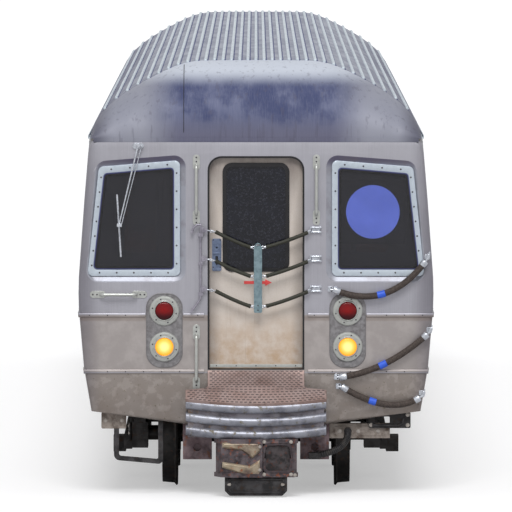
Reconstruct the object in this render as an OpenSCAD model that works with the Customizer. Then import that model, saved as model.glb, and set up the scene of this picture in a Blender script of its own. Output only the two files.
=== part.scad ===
// Stainless metro car, 60 ft class, one driving position and one gangway door at each end.
// X runs across the car, Y along it with the front end at -Y, Z up from the wheel flanges' lowest point.

/* [Car body] */
// Length over the two end sheets
body_l = 17880; // [16800:10:20500]
// Greatest width over the side sheets
body_w = 3050; // [2800:10:3400]
// Height of the floor's top above the flanges
floor_z = 1083; // [1060:1:1300]
// Height from the floor to the eaves
eave_h = 1987; // [1900:1:2400]
// Height of the roof's arch above the eaves
roof_rise = 675; // [500:5:850]
// Depth of the side sheet below the floor
skirt_h = 358; // [200:1:370]
// Depth of the domed roof cap at each end
cap_d = 600; // [400:10:900]

/* [Walls] */
// Thickness of the outer side sheet
skin_t = 20; // [12:1:30]
// Width of the pocket that the door leaves slide in
pocket_w = 44; // [38:1:60]
// Thickness of the inner lining
lining_t = 26; // [16:1:40]
// Thickness of the roof shell
roof_t = 60; // [40:1:90]
// Thickness of the floor
floor_t = 30; // [20:1:50]
// Thickness of the underframe below the floor
frame_t = 108; // [60:1:110]

// Reach of the belt mouldings beyond the sheets
belt_t = 12; // [6:1:20]
// Height of a belt moulding
belt_h = 36; // [20:2:60]

/* [Side doors] */
// Clear width of a side doorway
doorway_w = 1270; // [1000:10:1500]
// Height of a side doorway
doorway_h = 1899; // [1750:1:1950]
// Distance from the car's middle to the inner doorways
doorway_y1 = 2150; // [2100:10:2300]
// Distance from the car's middle to the outer doorways
doorway_y2 = 6450; // [6400:10:6600]
// Thickness of a door leaf
leaf_t = 32; // [24:1:34]
// Travel of a door leaf
leaf_travel = 620; // [400:10:640]

/* [Side windows] */
// Width of a side window
window_w = 700; // [500:10:760]
// Height of a side window
window_h = 850; // [600:10:950]
// Height of a side window's lower edge above the floor
window_sill = 867; // [700:1:950]

/* [Car ends] */
// Half width of the end door opening
end_door_half = 415; // [360:5:440]
// Height of the end door opening
end_door_h = 1836; // [1700:1:1850]
// Thickness of the end door
end_door_t = 40; // [30:1:50]
// Depth of the end door's face behind the end sheet
end_door_recess = 50; // [40:1:80]
// Half width of the anticlimber
anticlimber_half = 607; // [560:1:640]
// Reach of the anticlimber in front of the end sheet
anticlimber_d = 240; // [120:5:260]

/* [Running gear] */
// Distance between the two truck pivots
truck_centres = 13590; // [12600:10:14000]
// Distance between the two axles of a truck
wheelbase = 2083; // [1900:1:2200]
// Radius of the wheel tread
wheel_r = 432; // [380:1:440]
// Height of the flange over the tread
flange_h = 28; // [25:1:30]
// Distance between the inner faces of two wheels
back_to_back = 1360; // [1350:1:1370]
// Width of a wheel rim
rim_w = 135; // [120:1:140]

/* [Coupler] */
// Distance from the car's middle to the coupler's face
coupler_face = 9220; // [9100:5:10800]
// Height of the coupler's centre
coupler_z = 340; // [330:1:380]
// Half width of the coupler's head
head_half = 360; // [300:1:370]

/* [Hidden] */

// Clearances
run_gap = 6;        // round a piece that slides or swings
fit_gap = 0.3;      // round a pin, a journal or a guide
seat_gap = 0.1;     // between sloping sheets that rest on each other
// Body outline
half_w = body_w / 2;
end_y = body_l / 2;
wall_t = skin_t + pocket_w + lining_t;
sill_z = floor_z - skirt_h;
eave_z = floor_z + eave_h;
frame_z = floor_z - floor_t - frame_t;
side_table = [
  [sill_z, half_w - 111], [floor_z + 17, half_w - 47], [floor_z + 517, half_w - 3], [floor_z + 657, half_w],
  [floor_z + 797, half_w - 3], [floor_z + 1457, half_w - 51], [eave_z, half_w - 95]
];
eave_x = half_w - 95;
// Distance from the end doorway's edge to the start of a belt moulding
belt_start = 30;
belt_zs = [floor_z - 15, floor_z + 470];
roof_power_x = 2 / 2.4;  // the roof's arch is fuller than an ellipse
roof_power_z = 2 / 1.8;
arch_steps = 16;
// Doors and windows
doorways = [-doorway_y2, -doorway_y1, doorway_y1, doorway_y2];
doorway_top = floor_z + doorway_h;
leaf_overlap = 30;
leaf_in = skin_t + (pocket_w - leaf_t) / 2;
leaf_z0 = floor_z + 8;
leaf_z1 = doorway_top - 8;
tongue_t = 8;
tongue_h = 18;
groove_h = 16;
window_z0 = floor_z + window_sill;
window_z1 = window_z0 + window_h;
window_pitch = window_w + 90;
bay_y = (doorway_y1 + doorway_y2) / 2;
cab_window_y = end_y - 620;
cab_window_w = 480;
window_rows = [
  [0, window_pitch, window_w], [bay_y, window_pitch, window_w], [-bay_y, window_pitch, window_w],
  [cab_window_y, 0, cab_window_w], [-cab_window_y, 0, cab_window_w]
];
glass_t = 8;
// Running gear
axle_z = wheel_r + flange_h;
pivot_y = truck_centres / 2;
axle_y = wheelbase / 2;
wheel_in = back_to_back / 2;
wheel_out = wheel_in + rim_w;
journal_r = 65;
frame_in = wheel_out + 145;
frame_out = frame_in + 100;
bolster_z1 = frame_z - 65;
pin_r = 80;

// Half width of the side sheet at a height
function side_x(z) = lookup(z, side_table);

// Heights at which the side outline bends between two heights, with both ends
function side_steps(z0, z1) = concat([z0], [for (p = side_table) if (p[0] > z0 && p[0] < z1) p[0]], [z1]);

// Point of the roof's arch at an angle from the eaves, drawn in by an inset
function arch_point(a, inset) = [
  (eave_x - inset) * sign(cos(a)) * pow(abs(cos(a)), roof_power_x),
  eave_z + (roof_rise - inset) * pow(max(sin(a), 0), roof_power_z)
];

// Outline with each corner rounded by a short curve that starts a distance d from the corner
function rounded(pts, d, n = 4) = [
  for (i = [0:len(pts) - 1])
    let (p = pts[i], a = pts[(i + len(pts) - 1) % len(pts)], b = pts[(i + 1) % len(pts)])
    let (u = p + (a - p) / norm(a - p) * d, v = p + (b - p) / norm(b - p) * d)
    for (k = [0:n]) let (t = k / n) (1 - t) * (1 - t) * u + 2 * t * (1 - t) * p + t * t * v
];

// Four corners of a rectangle
function box_pts(x0, z0, x1, z1) = [[x0, z0], [x1, z0], [x1, z1], [x0, z1]];

// Point of a curve through a start and an end, pulled towards a middle point
function bend(p, q, r, t) = (1 - t) * (1 - t) * p + 2 * t * (1 - t) * q + t * t * r;
function bend_path(p, q, r, n) = [for (k = [0:n]) bend(p, q, r, k / n)];

// Closed tube of a given radius along a list of points
module swept_tube(path, r, sides = 8) {
  last = len(path) - 1;
  rings = [
    for (i = [0:last])
      let (d = path[min(i + 1, last)] - path[max(i - 1, 0)], t = d / norm(d))
      let (c = cross(t, [0, 1, 0.31]), u = c / norm(c), v = cross(t, u))
      for (k = [0:sides - 1]) path[i] + r * (cos(360 * k / sides) * u + sin(360 * k / sides) * v)
  ];
  walls = [
    for (i = [0:last - 1])
      for (k = [0:sides - 1])
        let (a = i * sides + k, b = i * sides + (k + 1) % sides)
        [a, a + sides, b + sides, b]
  ];
  first = [for (k = [0:sides - 1]) k];
  final = [for (k = [sides - 1:-1:0]) last * sides + k];
  polyhedron(rings, concat([first], walls, [final]));
}

// Round bar between two points
module bar(p, q, r) {
  d = q - p;
  translate(p)
    rotate([0, acos(d[2] / norm(d)), atan2(d[1], d[0])])
      cylinder(h = norm(d), r = r, $fn = 24);
}

// Round bar through several points with ball corners
module bent_bar(path, r) {
  for (i = [0:len(path) - 2]) bar(path[i], path[i + 1], r);
  for (i = [1:len(path) - 2]) translate(path[i]) sphere(r = r, $fn = 24);
}

// Outline in X and Z drawn along Y
module along_y(y0, y1) {
  translate([0, y1, 0]) rotate([90, 0, 0]) linear_extrude(y1 - y0) children();
}

// Outline in Y and Z drawn along X
module along_x(x0, x1) {
  translate([x0, 0, 0]) rotate([90, 0, 90]) linear_extrude(x1 - x0) children();
}

module block(p, q) {
  translate(p) cube(q - p);
}

module both_ends() {
  children();
  rotate([0, 0, 180]) children();
}

module both_sides() {
  children();
  mirror([1, 0, 0]) children();
}

// Band that follows the right-hand side outline between two insets and two heights
module side_band(in0, in1, z0, z1) {
  zs = side_steps(z0, z1);
  last = len(zs) - 1;
  outer = [for (z = zs) [side_x(z) - in0, z]];
  inner = [for (i = [last:-1:0]) [side_x(zs[i]) - in1, zs[i]]];
  polygon(concat(outer, inner));
}

// Slab across the whole car at an inset from the side sheets
module cross_band(inset, z0, z1) {
  zs = side_steps(z0, z1);
  last = len(zs) - 1;
  right = [for (z = zs) [side_x(z) - inset, z]];
  left = [for (i = [last:-1:0]) [inset - side_x(zs[i]), zs[i]]];
  polygon(concat(right, left));
}

// Holes of the side doorways
module doorway_cuts() {
  for (y = doorways)
    block([0, y - doorway_w / 2, floor_z], [half_w + 1, y + doorway_w / 2, doorway_top]);
}

// Outlines of the side windows, widened by an edge
module window_outlines(edge) {
  for (row = window_rows)
    for (side = row[1] > 0 ? [-1, 1] : [1])
      let (y = row[0] + side * row[1] / 2, w = row[2] / 2 + edge)
      polygon(rounded(box_pts(y - w, window_z0 - edge, y + w, window_z1 + edge), 60 + edge));
}

module side_wall() {
  color("silver")
    difference() {
      along_y(wall_t - end_y, end_y - wall_t) {
        side_band(0, skin_t, sill_z, eave_z);
        for (z = belt_zs) side_band(-belt_t, 1, z - belt_h / 2, z + belt_h / 2);
        side_band(skin_t, wall_t, sill_z, floor_z - floor_t);
      }
      doorway_cuts();
      along_x(half_w - 300, half_w + 1) window_outlines(0);
    }
}

module lining() {
  groove_in = leaf_in + leaf_t / 2 - tongue_t / 2 - fit_gap;
  color("linen")
    difference() {
      along_y(wall_t - end_y, end_y - wall_t) {
        side_band(skin_t + pocket_w, wall_t, floor_z, eave_z);
        side_band(skin_t + seat_gap, wall_t, doorway_top, eave_z);
      }
      doorway_cuts();
      along_x(half_w - 300, half_w + 1) window_outlines(0);
      along_y(-end_y, end_y)
        side_band(groove_in, groove_in + tongue_t + 2 * fit_gap, doorway_top - 1, doorway_top + groove_h);
    }
}

// Frames that fill the pocket round each side window
module side_window_frames() {
  color("gray")
    both_sides()
      intersection() {
        along_y(-end_y, end_y)
          side_band(skin_t + seat_gap, skin_t + pocket_w - seat_gap, window_z0 - 100, window_z1 + 100);
        along_x(half_w - 300, half_w + 1)
          difference() {
            window_outlines(35);
            window_outlines(0);
          }
      }
}

module side_glass() {
  color("darkslategray")
    intersection() {
      along_y(-end_y, end_y)
        side_band(skin_t, skin_t + glass_t, window_z0 - 100, window_z1 + 100);
      along_x(half_w - 300, half_w + 1) window_outlines(0);
    }
}

module floor_panel() {
  color("dimgray") along_y(wall_t - end_y, end_y - wall_t) cross_band(skin_t + seat_gap, floor_z - floor_t, floor_z);
}

// Longitudinal sills and cross bearers under the floor
module underframe() {
  sill_xs = [-1000, -120, 120, 1000];
  bearers = 13;
  reach = end_y - wall_t - 20;
  color("slategray") {
    for (x = sill_xs)
      block([x - 60, -reach, frame_z], [x + 60, reach, floor_z - floor_t]);
    for (i = [0:bearers - 1])
      let (y = -reach + 50 + i * (2 * reach - 100) / (bearers - 1))
      block([-1270, y - 50, frame_z], [1270, y + 50, floor_z - floor_t]);
    both_ends() block([-1270, -pivot_y - 200, frame_z], [1270, 200 - pivot_y, floor_z - floor_t]);
  }
}

// Pivot pins that the trucks turn on
module truck_pivots() {
  color("slategray")
    both_ends()
      translate([0, -pivot_y, bolster_z1 - 150]) cylinder(h = frame_z + 150 - bolster_z1, r = pin_r, $fn = 48);
}

module roof_outline(inset) {
  polygon([for (i = [0:arch_steps * 2]) arch_point(i * 90 / arch_steps, inset)]);
}

module roof() {
  color("lightsteelblue")
    along_y(cap_d - end_y, end_y - cap_d)
      difference() {
        roof_outline(0);
        roof_outline(roof_t);
      }
}

// Side view of the domed cap, drawn in by an inset
module cap_profile(inset) {
  curve = [
    for (i = [0:arch_steps])
      let (a = i * 90 / arch_steps)
      [-end_y + cap_d - (cap_d - inset) * cos(a), eave_z + (roof_rise - inset) * sin(a)]
  ];
  polygon(concat(curve, [[-end_y + cap_d, eave_z]]));
}

module cap_solid(inset) {
  intersection() {
    along_y(-end_y - 1, cap_d - end_y) roof_outline(inset);
    along_x(-half_w, half_w) cap_profile(inset);
  }
}

module roof_cap() {
  color("slateblue")
    difference() {
      cap_solid(0);
      cap_solid(roof_t);
    }
}

// Ceiling slab between the linings
module ceiling() {
  color("white") along_y(wall_t - end_y, end_y - wall_t) cross_band(wall_t + seat_gap, eave_z - 40, eave_z - 20);
}

module ceiling_lights() {
  color("ivory")
    for (x = [-620, 620])
      for (i = [-3:3])
        block([x - 70, i * 2150 - 900, eave_z - 85], [x + 70, i * 2150 + 900, eave_z - 40]);
}

// End windows: corners of the glass on the right-hand side, seen from the front
glass_low = floor_z + 871;
end_glass_pts = [[712, glass_low], [1389, glass_low], [1298, glass_low + 809], [712, glass_low + 860]];
end_frame_pts = [[651, glass_low - 66], [1450, glass_low - 66], [1349, glass_low + 874], [651, glass_low + 931]];
end_frame_t = 14;

module end_wall() {
  corner_z = sill_z;
  color("lightgray")
    difference() {
      union() {
        along_y(-end_y, wall_t - end_y) {
          cross_band(0, corner_z, eave_z);
          polygon([
            [-side_x(corner_z), corner_z], [-anticlimber_half, corner_z - 111],
            [anticlimber_half, corner_z - 111], [side_x(corner_z), corner_z]
          ]);
        }
        // belt mouldings from the door opening round the corners
        both_sides()
          for (z = belt_zs)
            difference() {
              block([end_door_half + belt_start, -end_y - belt_t, z - belt_h / 2],
                [side_x(z) + belt_t, wall_t - end_y, z + belt_h / 2]);
              if (z > floor_z + 19)
                block([lamp_x - lamp_half - 3, -end_y - 99, z - belt_h],
                  [lamp_x + lamp_half + 3, -end_y, z + belt_h]);
            }
      }
      along_y(-end_y - belt_t - 1, wall_t - end_y + 1) {
        polygon(rounded([
          [-end_door_half, floor_z], [end_door_half, floor_z],
          [end_door_half, floor_z + end_door_h], [-end_door_half, floor_z + end_door_h]
        ], 20));
        both_sides() polygon(rounded(end_glass_pts, 30));
      }
      along_y(-end_y - 1, end_frame_t - end_y)
        both_sides() polygon(rounded(end_frame_pts, 40));
    }
}

// Flat frames let into the end sheet round the end windows
module end_window_frames() {
  color("lightsteelblue")
    both_ends()
      both_sides()
        along_y(-end_y, end_frame_t - end_y)
          difference() {
            polygon(rounded(end_frame_pts, 40));
            polygon(rounded(end_glass_pts, 30));
          }
}

module end_glass() {
  color("darkslategray")
    both_sides()
      along_y(end_frame_t - end_y, end_frame_t + glass_t - end_y)
        polygon(rounded(end_glass_pts, 30));
}

// Buffer beam, draft anchor with its pin, ribbed anticlimber and sloping tread plate
anchor_y = -end_y + 790;
anchor_pin_r = 30;
climber_z1 = sill_z + 119;
climber_z0 = sill_z - 211;
climber_rib_h = 70;
buffer_z = sill_z - 15;
eye_r = 90;
eye_h = 80;

module anticlimber() {
  front = -end_y - anticlimber_d;
  shelf = 20;
  color("steelblue") {
    // beam with three bulging ribs
    translate([0, 0, climber_z0])
      linear_extrude(climber_z1 - climber_z0)
        polygon([
          [-anticlimber_half + 20, -end_y], [-anticlimber_half + 20, front + 75], [-350, front + 40],
          [0, front + 30], [350, front + 40], [anticlimber_half - 20, front + 75], [anticlimber_half - 20, -end_y]
        ]);
    for (i = [0:2])
      translate([0, 0, climber_z0 + 5 + i * (climber_z1 - climber_z0 - climber_rib_h - 10) / 2])
        linear_extrude(climber_rib_h)
          polygon([
            [-anticlimber_half, -end_y], [-anticlimber_half, front + 60], [-350, front + 12],
            [0, front], [350, front + 12], [anticlimber_half, front + 60], [anticlimber_half, -end_y]
          ]);
    // buffer beam behind the end sheet
    block([-1250, wall_t - end_y, buffer_z], [1250, wall_t - end_y + 130, frame_z]);
    // draft anchor with a slot for the coupler's eye
    difference() {
      block([-180, anchor_y - 150, coupler_z - 100], [180, anchor_y + 150, frame_z]);
      block([-181, anchor_y - 151, coupler_z - eye_h / 2 - run_gap],
        [181, anchor_y + 105, coupler_z + eye_h / 2 + run_gap]);
    }
    translate([0, anchor_y, coupler_z - 90]) cylinder(h = 180, r = anchor_pin_r, $fn = 36);
  }
  color("rosybrown")
    difference() {
      hull() {
        block([-end_door_half, -end_y - 2, floor_z - shelf - 6], [end_door_half, -end_y, floor_z - 6]);
        block([-anticlimber_half, front + 62, climber_z1], [anticlimber_half, front + 72, climber_z1 + shelf]);
      }
      block([-half_w, -end_y, 0], [half_w, 0, eave_z]);
      block([-half_w, -end_y - 400, 0], [half_w, -end_y + 1, climber_z1]);
    }
}

// Lamp plates with two bezels each
lamp_x = 787;
lamp_half = 157;
lamp_zs = [floor_z + 198, floor_z + 508];
bezel_r = 128;
lens_r = 77;

module lamp_plates() {
  color("gainsboro")
    both_ends()
      both_sides()
        difference() {
          union() {
            along_y(-end_y - 8, -end_y)
              polygon(rounded(box_pts(lamp_x - lamp_half, floor_z + 19, lamp_x + lamp_half, floor_z + 662), 110));
            for (z = lamp_zs)
              translate([lamp_x, -end_y - 30, z]) rotate([-90, 0, 0]) cylinder(h = 23, r = bezel_r, $fn = 48);
          }
          for (z = lamp_zs)
            translate([lamp_x, -end_y - 31, z]) rotate([-90, 0, 0]) cylinder(h = 27, r = lens_r, $fn = 48);
        }
}

module lamp_lenses() {
  color("orangered")
    both_ends()
      both_sides()
        for (z = lamp_zs)
          translate([lamp_x, -end_y - 38, z]) rotate([-90, 0, 0]) cylinder(h = 34, r = lens_r, $fn = 48);
}

// Grab handle between two end pads, standing off the end sheet
module grab_handle(p, q) {
  stand = [0, -55, 0];
  for (pad = [p, q])
    translate(pad + [0, -4, 0]) cube([44, 8, 70], center = true);
  bent_bar([p + [0, -8, 0], p + stand, q + stand, q + [0, -8, 0]], 11);
}

module grab_handles() {
  face = -end_y;
  color("lightsteelblue")
    both_ends() {
      for (x = [-512, 518])
        grab_handle([x, face, floor_z + 1325], [x, face, floor_z + 1770]);
      grab_handle([-512, face, floor_z - 125], [-512, face, floor_z + 325]);
      grab_handle([-1369, face, floor_z + 648], [-990, face, floor_z + 648]);
    }
}

// Safety chains across the end door with their rod, strap and hooks
chain_zs = [floor_z + 1205, floor_z + 956, floor_z + 697];
chain_y = -end_y - 40;
chain_left = -475;
chain_right = 514;
strap_x = 17;
chain_sag = 160;
chain_r = 16;

module gate_fittings() {
  color("slategray")
    both_ends() {
      // release rod on the left with its brackets
      translate([chain_left, chain_y, floor_z + 590]) cylinder(h = 660, r = 9, $fn = 24);
      along_y(chain_y - 7, chain_y + 7)
        polygon([[chain_left - 90, floor_z + 480], [chain_left - 72, floor_z + 472],
          [chain_left + 7, floor_z + 588], [chain_left + 7, floor_z + 610], [chain_left - 7, floor_z + 610]]);
      for (z = chain_zs)
        block([chain_left - 18, chain_y - 6, z - 50], [chain_left + 18, -end_y, z - 26]);
      // hook plates on the right
      for (z = chain_zs) {
        block([chain_right - 22, -end_y - 8, z - 42], [chain_right + 22, -end_y, z + 42]);
        block([chain_right - 12, chain_y - 8, z - 12], [chain_right + 12, -end_y - 8, z + 12]);
      }
      // strap that joins the three chains in the middle
      block([strap_x - 35, chain_y - 24, floor_z + 494], [strap_x + 35, chain_y - chain_r, floor_z + 1080]);
    }
}

module gate_chains() {
  color("darkolivegreen")
    both_ends()
      for (z = chain_zs) {
        left = [chain_left + 9, chain_y, z];
        low = [strap_x, chain_y, z - chain_sag];
        right = [chain_right - 12, chain_y, z];
        swept_tube(bend_path(left, [-180, chain_y, z - chain_sag - 10], low, 9), chain_r);
        swept_tube(bend_path(low, [230, chain_y, z - chain_sag - 10], right, 9), chain_r);
      }
}

// Restraint cables at the right-hand corner, each from an inner plate to an outer hook
cable_y = -end_y - 50;
cable_r = 23;
cable_routes = [
  [[665, 694], [1130, 500], [1454, 937]],
  [[720, -60], [1120, -10], [1470, 310]],
  [[735, -140], [1150, -400], [1405, -235]]
];

function cable_point(p) = [p[0], cable_y, floor_z + p[1]];

module corner_cables() {
  color("saddlebrown")
    both_ends()
      for (c = cable_routes)
        swept_tube(bend_path(cable_point(c[0]), cable_point(c[1]), cable_point(c[2]), 14), cable_r, 10);
}

module cable_hooks() {
  color("steelblue")
    both_ends()
      for (c = cable_routes) {
        block(cable_point(c[0]) + [-46, -14, -24], cable_point(c[0]) + [0, 50, 24]);
        block(cable_point(c[2]) + [0, -14, 0], cable_point(c[2]) + [34, 14, 60]);
        block(cable_point(c[2]) + [0, 14, 20], cable_point(c[2]) + [34, 50, 44]);
      }
}

// Slanting strip between two points, drawn in X and Z
module wiper_strip(p, q, half) {
  polygon([[p[0] - half, p[2]], [q[0] - half, q[2]], [q[0] + half, q[2]], [p[0] + half, p[2]]]);
}

module wipers() {
  face = -end_y;
  top = [-1012, face - 30, floor_z + 1925];
  foot = [-1175, face - 34, floor_z + 1245];
  color("silver")
    both_ends() {
      block(top + [-35, 0, -30], top + [35, 30, 30]);
      along_y(face - 38, face - 30) wiper_strip(top, foot, 8);
      along_y(face - 30, face - 12) wiper_strip(foot + [-17, 0, 263], foot + [16, 0, -273], 11);
    }
}

// Longitudinal bench seats between the doorways, on the right-hand side
module seats() {
  bench = doorway_y2 - doorway_y1 - doorway_w - 160;
  back_x = side_x(floor_z + 17) - wall_t;
  profile = [
    [back_x, floor_z + 330], [back_x - 480, floor_z + 380], [back_x - 490, floor_z + 430],
    [back_x - 90, floor_z + 420], [back_x - 40, floor_z + 860], [back_x, floor_z + 860]
  ];
  color("darkorange")
    for (y = [-bay_y, 0, bay_y]) {
      along_y(y - bench / 2, y + bench / 2) polygon(profile);
      along_y(y - bench / 2 + 60, y + bench / 2 - 60)
        polygon(box_pts(back_x - 300, floor_z, back_x - 10, floor_z + 345));
    }
}

module grab_poles() {
  pole_x = 860;
  color("lightgray")
    both_sides()
      for (y = doorways)
        for (side = [-1, 1])
          translate([pole_x, y + side * (doorway_w / 2 + 90), floor_z])
            cylinder(h = eave_z - 40 - floor_z, r = 17, $fn = 24);
}

// Two cab compartments beside the gangway at one end
cab_depth = 1000;
cab_x = end_door_half + 30;

module cab_walls() {
  back = -end_y + wall_t + cab_depth;
  color("beige")
    both_sides() {
      block([cab_x, wall_t - end_y, floor_z], [cab_x + 25, back, eave_z - 40]);
      along_y(back, back + 25)
        difference() {
          polygon([
            [cab_x, floor_z], [side_x(floor_z) - wall_t, floor_z], [side_x(floor_z + 657) - wall_t, floor_z + 657],
            [side_x(eave_z - 40) - wall_t, eave_z - 40], [cab_x, eave_z - 40]
          ]);
          polygon(rounded(box_pts(cab_x + 250, floor_z + 950, cab_x + 700, floor_z + 1600), 40));
        }
    }
}

// Driver's desk and stool on the left, sign box on the right
module cab_fittings() {
  face = -end_y + wall_t;
  color("dimgray")
    both_ends() {
      block([-1330, face, floor_z], [-cab_x - 60, face + 260, floor_z + 800]);
      block([-1330, face + 260, floor_z + 700], [-cab_x - 60, face + 380, floor_z + 800]);
      translate([-900, face + 680, floor_z]) cylinder(h = 430, r = 40, $fn = 24);
      translate([-900, face + 680, floor_z + 430]) cylinder(h = 60, r = 190, $fn = 36);
      block([737, -end_y + end_frame_t + glass_t, floor_z + 1093],
        [1272, -end_y + end_frame_t + glass_t + 30, floor_z + 1623]);
    }
}

// Equipment cases and air reservoirs hung between the trucks
module equipment() {
  cases = [[-1150, -4900, 420, 900, 1500], [-1150, -3200, 380, 700, 1700], [350, -4800, 450, 850, 1300],
    [450, -3300, 400, 750, 1500], [-1180, -1200, 480, 1000, 1400], [300, -1500, 430, 900, 2000],
    [-1150, 600, 400, 800, 1800], [350, 900, 460, 850, 1500], [-1100, 2800, 440, 800, 2000],
    [400, 2800, 500, 780, 1900]];
  color("dimgray") {
    for (c = cases)
      block([c[0], c[1], frame_z - c[2] - 40], [c[0] + c[3], c[1] + c[4], frame_z]);
    for (x = [-120, 120])
      translate([x, -2600, frame_z - 190]) rotate([-90, 0, 0]) cylinder(h = 5200, r = 95, $fn = 36);
    for (y = [-2300, 0, 2300])
      block([-230, y - 30, frame_z - 120], [230, y + 30, frame_z]);
  }
}

// Step bar, brackets and beams below the ends
module step_irons() {
  face = wall_t - end_y;
  top = buffer_z;
  color("black")
    both_ends() {
      block([-1330, face, top - 140], [-1116, face + 30, top]);
      bent_bar([[-1200, face + 15, top - 135], [-1200, face + 15, top - 435],
        [-800, face + 15, top - 435], [-800, face + 15, top]], 14);
      both_sides()
        difference() {
          block([380, face + 10, top - 406], [629, face + 110, top]);
          block([430, face + 9, top - 356], [579, face + 111, top - 256]);
        }
      block([628, face + 30, top - 226], [1153, face + 90, top - 96]);
      block([970, face, top - 136], [1330, face + 30, top]);
    }
}

module air_hoses() {
  face = wall_t + 30 - end_y - fit_gap;
  seat = wall_t + 10 - end_y - fit_gap;
  top = buffer_z;
  color("black")
    both_ends() {
      block([760, face - 45, top - 190], [820, face, top - 130]);
      swept_tube(bend_path([790, face - 30, top - 160], [795, face - 110, top - 330], [500, seat - 40, top - 370], 10), 24, 10);
      block([450, seat - 80, top - 400], [530, seat, top - 340]);
    }
}

// Row of leaves that slide the same way; dir is -1 for the fore leaf of each doorway
module door_leaves(dir) {
  mid = leaf_in + leaf_t / 2;
  color("silver")
    for (y = doorways) {
      y0 = dir < 0 ? y - doorway_w / 2 - leaf_overlap : y + 3;
      y1 = y0 + doorway_w / 2 + leaf_overlap - 3;
      pane = rounded(box_pts(y0 + 130, leaf_z0 + 760, y1 - 130, leaf_z0 + 1640), 60);
      difference() {
        along_y(y0, y1) {
          side_band(leaf_in, leaf_in + leaf_t, leaf_z0, leaf_z1);
          side_band(mid - tongue_t / 2, mid + tongue_t / 2, leaf_z1 - 5, leaf_z1 + tongue_h);
        }
        along_x(half_w - 300, half_w + 1) polygon(pane);
      }
      intersection() {
        along_y(y0, y1) side_band(mid - glass_t / 2, mid + glass_t / 2, leaf_z0, leaf_z1);
        along_x(half_w - 300, half_w + 1) polygon(pane);
      }
    }
}

// End door, hung on the right and opening inwards
hinge_x = end_door_half - 3;
hinge_y = -end_y + wall_t + 14;
knuckle_r = 10;
knuckle_h = 50;
hinge_pin_r = 5;
hinge_zs = [floor_z + 200, floor_z + 870, floor_z + 1540];

module end_door() {
  y1 = -end_y + wall_t;
  y0 = y1 - end_door_t;
  top = floor_z + end_door_h - 8;
  window = rounded(box_pts(-276, floor_z + 852, 276, floor_z + 1767), 70);
  color("wheat") {
    difference() {
      along_y(y0, y1) polygon(rounded(box_pts(8 - end_door_half, floor_z + 8, end_door_half - 6, top), 25));
      along_y(y0 - 1, y1 + 1) polygon(window);
    }
    along_y(y0 + 14, y0 + 22) polygon(window);
    // lock plate and its pull
    block([-377, y0 - 10, floor_z + 847], [-297, y0, floor_z + 1126]);
    block([-365, y0 - 26, floor_z + 1000], [-309, y0 - 10, floor_z + 1012]);
    for (z = hinge_zs)
      difference() {
        union() {
          block([hinge_x - 45, y1, z + knuckle_h + 1], [hinge_x, y1 + 6, z + 2 * knuckle_h + 1]);
          block([hinge_x - 14, y1, z + knuckle_h + 1], [hinge_x, hinge_y, z + 2 * knuckle_h + 1]);
          translate([hinge_x, hinge_y, z + knuckle_h + 1]) cylinder(h = knuckle_h, r = knuckle_r, $fn = 32);
        }
        translate([hinge_x, hinge_y, z + knuckle_h]) cylinder(h = knuckle_h + 2, r = hinge_pin_r + fit_gap, $fn = 32);
      }
  }
}

// Fixed knuckles and pins that carry an end door
module door_hinges() {
  y1 = -end_y + wall_t;
  color("gray")
    for (z = hinge_zs) {
      block([hinge_x, y1, z], [hinge_x + 18, y1 + 14, z + knuckle_h]);
      translate([hinge_x, hinge_y, z]) cylinder(h = knuckle_h, r = knuckle_r, $fn = 32);
      translate([hinge_x, hinge_y, z]) cylinder(h = 2 * knuckle_h, r = hinge_pin_r, $fn = 32);
    }
}

// Coupler: eye, drawbar, head with hook wedge and pocket, and the contact box under it
head_h = 330;
contact_h = 115;

module coupler() {
  back = -end_y + 10;
  face = -coupler_face;
  color("rosybrown") {
    difference() {
      union() {
        translate([0, anchor_y, coupler_z - eye_h / 2]) cylinder(h = eye_h, r = eye_r, $fn = 48);
        block([-60, back - 40, coupler_z - eye_h / 2], [60, anchor_y, coupler_z + eye_h / 2]);
      }
      translate([0, anchor_y, coupler_z - eye_h])
        cylinder(h = 2 * eye_h, r = anchor_pin_r + fit_gap, $fn = 36);
    }
    difference() {
      translate([0, 0, coupler_z - head_h / 2])
        linear_extrude(head_h)
          polygon([
            [-head_half, face + 150], [-head_half + 60, face + 30], [-head_half + 150, face], [50, face],
            [50, face + 30], [head_half - 40, face + 30], [head_half, face + 90], [head_half - 60, back],
            [-head_half + 90, back]
          ]);
      block([60, face - 1, coupler_z - 120], [head_half - 60, face + 130, coupler_z + 110]);
    }
    block([-270, face + 60, coupler_z - head_h / 2 - contact_h], [270, back - 30, coupler_z - head_h / 2]);
  }
}

module truck() {
  box_half = 125;
  motor_y0 = 260;
  motor_y1 = axle_y - 140;
  color("darkslategray")
    difference() {
      union() {
        both_sides() {
          block([frame_in, -axle_y - 220, axle_z + 100], [frame_out, axle_y + 220, axle_z + 250]);
          for (y = [-axle_y, axle_y])
            block([frame_in - 20, y - box_half, axle_z - box_half], [frame_out + 20, y + box_half, axle_z + 101]);
          // wooden beam and paddle of the current collector
          block([frame_out + 20, -axle_y - 60, axle_z - 140], [frame_out + 90, axle_y + 60, axle_z - 20]);
          block([frame_out + 90, -110, axle_z - 240], [frame_out + 200, 110, axle_z - 100]);
        }
        block([-frame_out, -260, axle_z + 200], [frame_out, 260, bolster_z1]);
        for (turn = [0, 180])
          rotate([0, 0, turn]) block([-330, motor_y0 - 1, axle_z - 190], [330, motor_y1, axle_z + 210]);
      }
      translate([0, 0, axle_z + 200 - 1])
        cylinder(h = bolster_z1 - axle_z - 198, r = pin_r + fit_gap, $fn = 48);
      for (y = [-axle_y, axle_y])
        translate([-frame_out - 25, y, axle_z])
          rotate([0, 90, 0])
            cylinder(h = 2 * frame_out + 50, r = journal_r + fit_gap, $fn = 48);
    }
}

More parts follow.
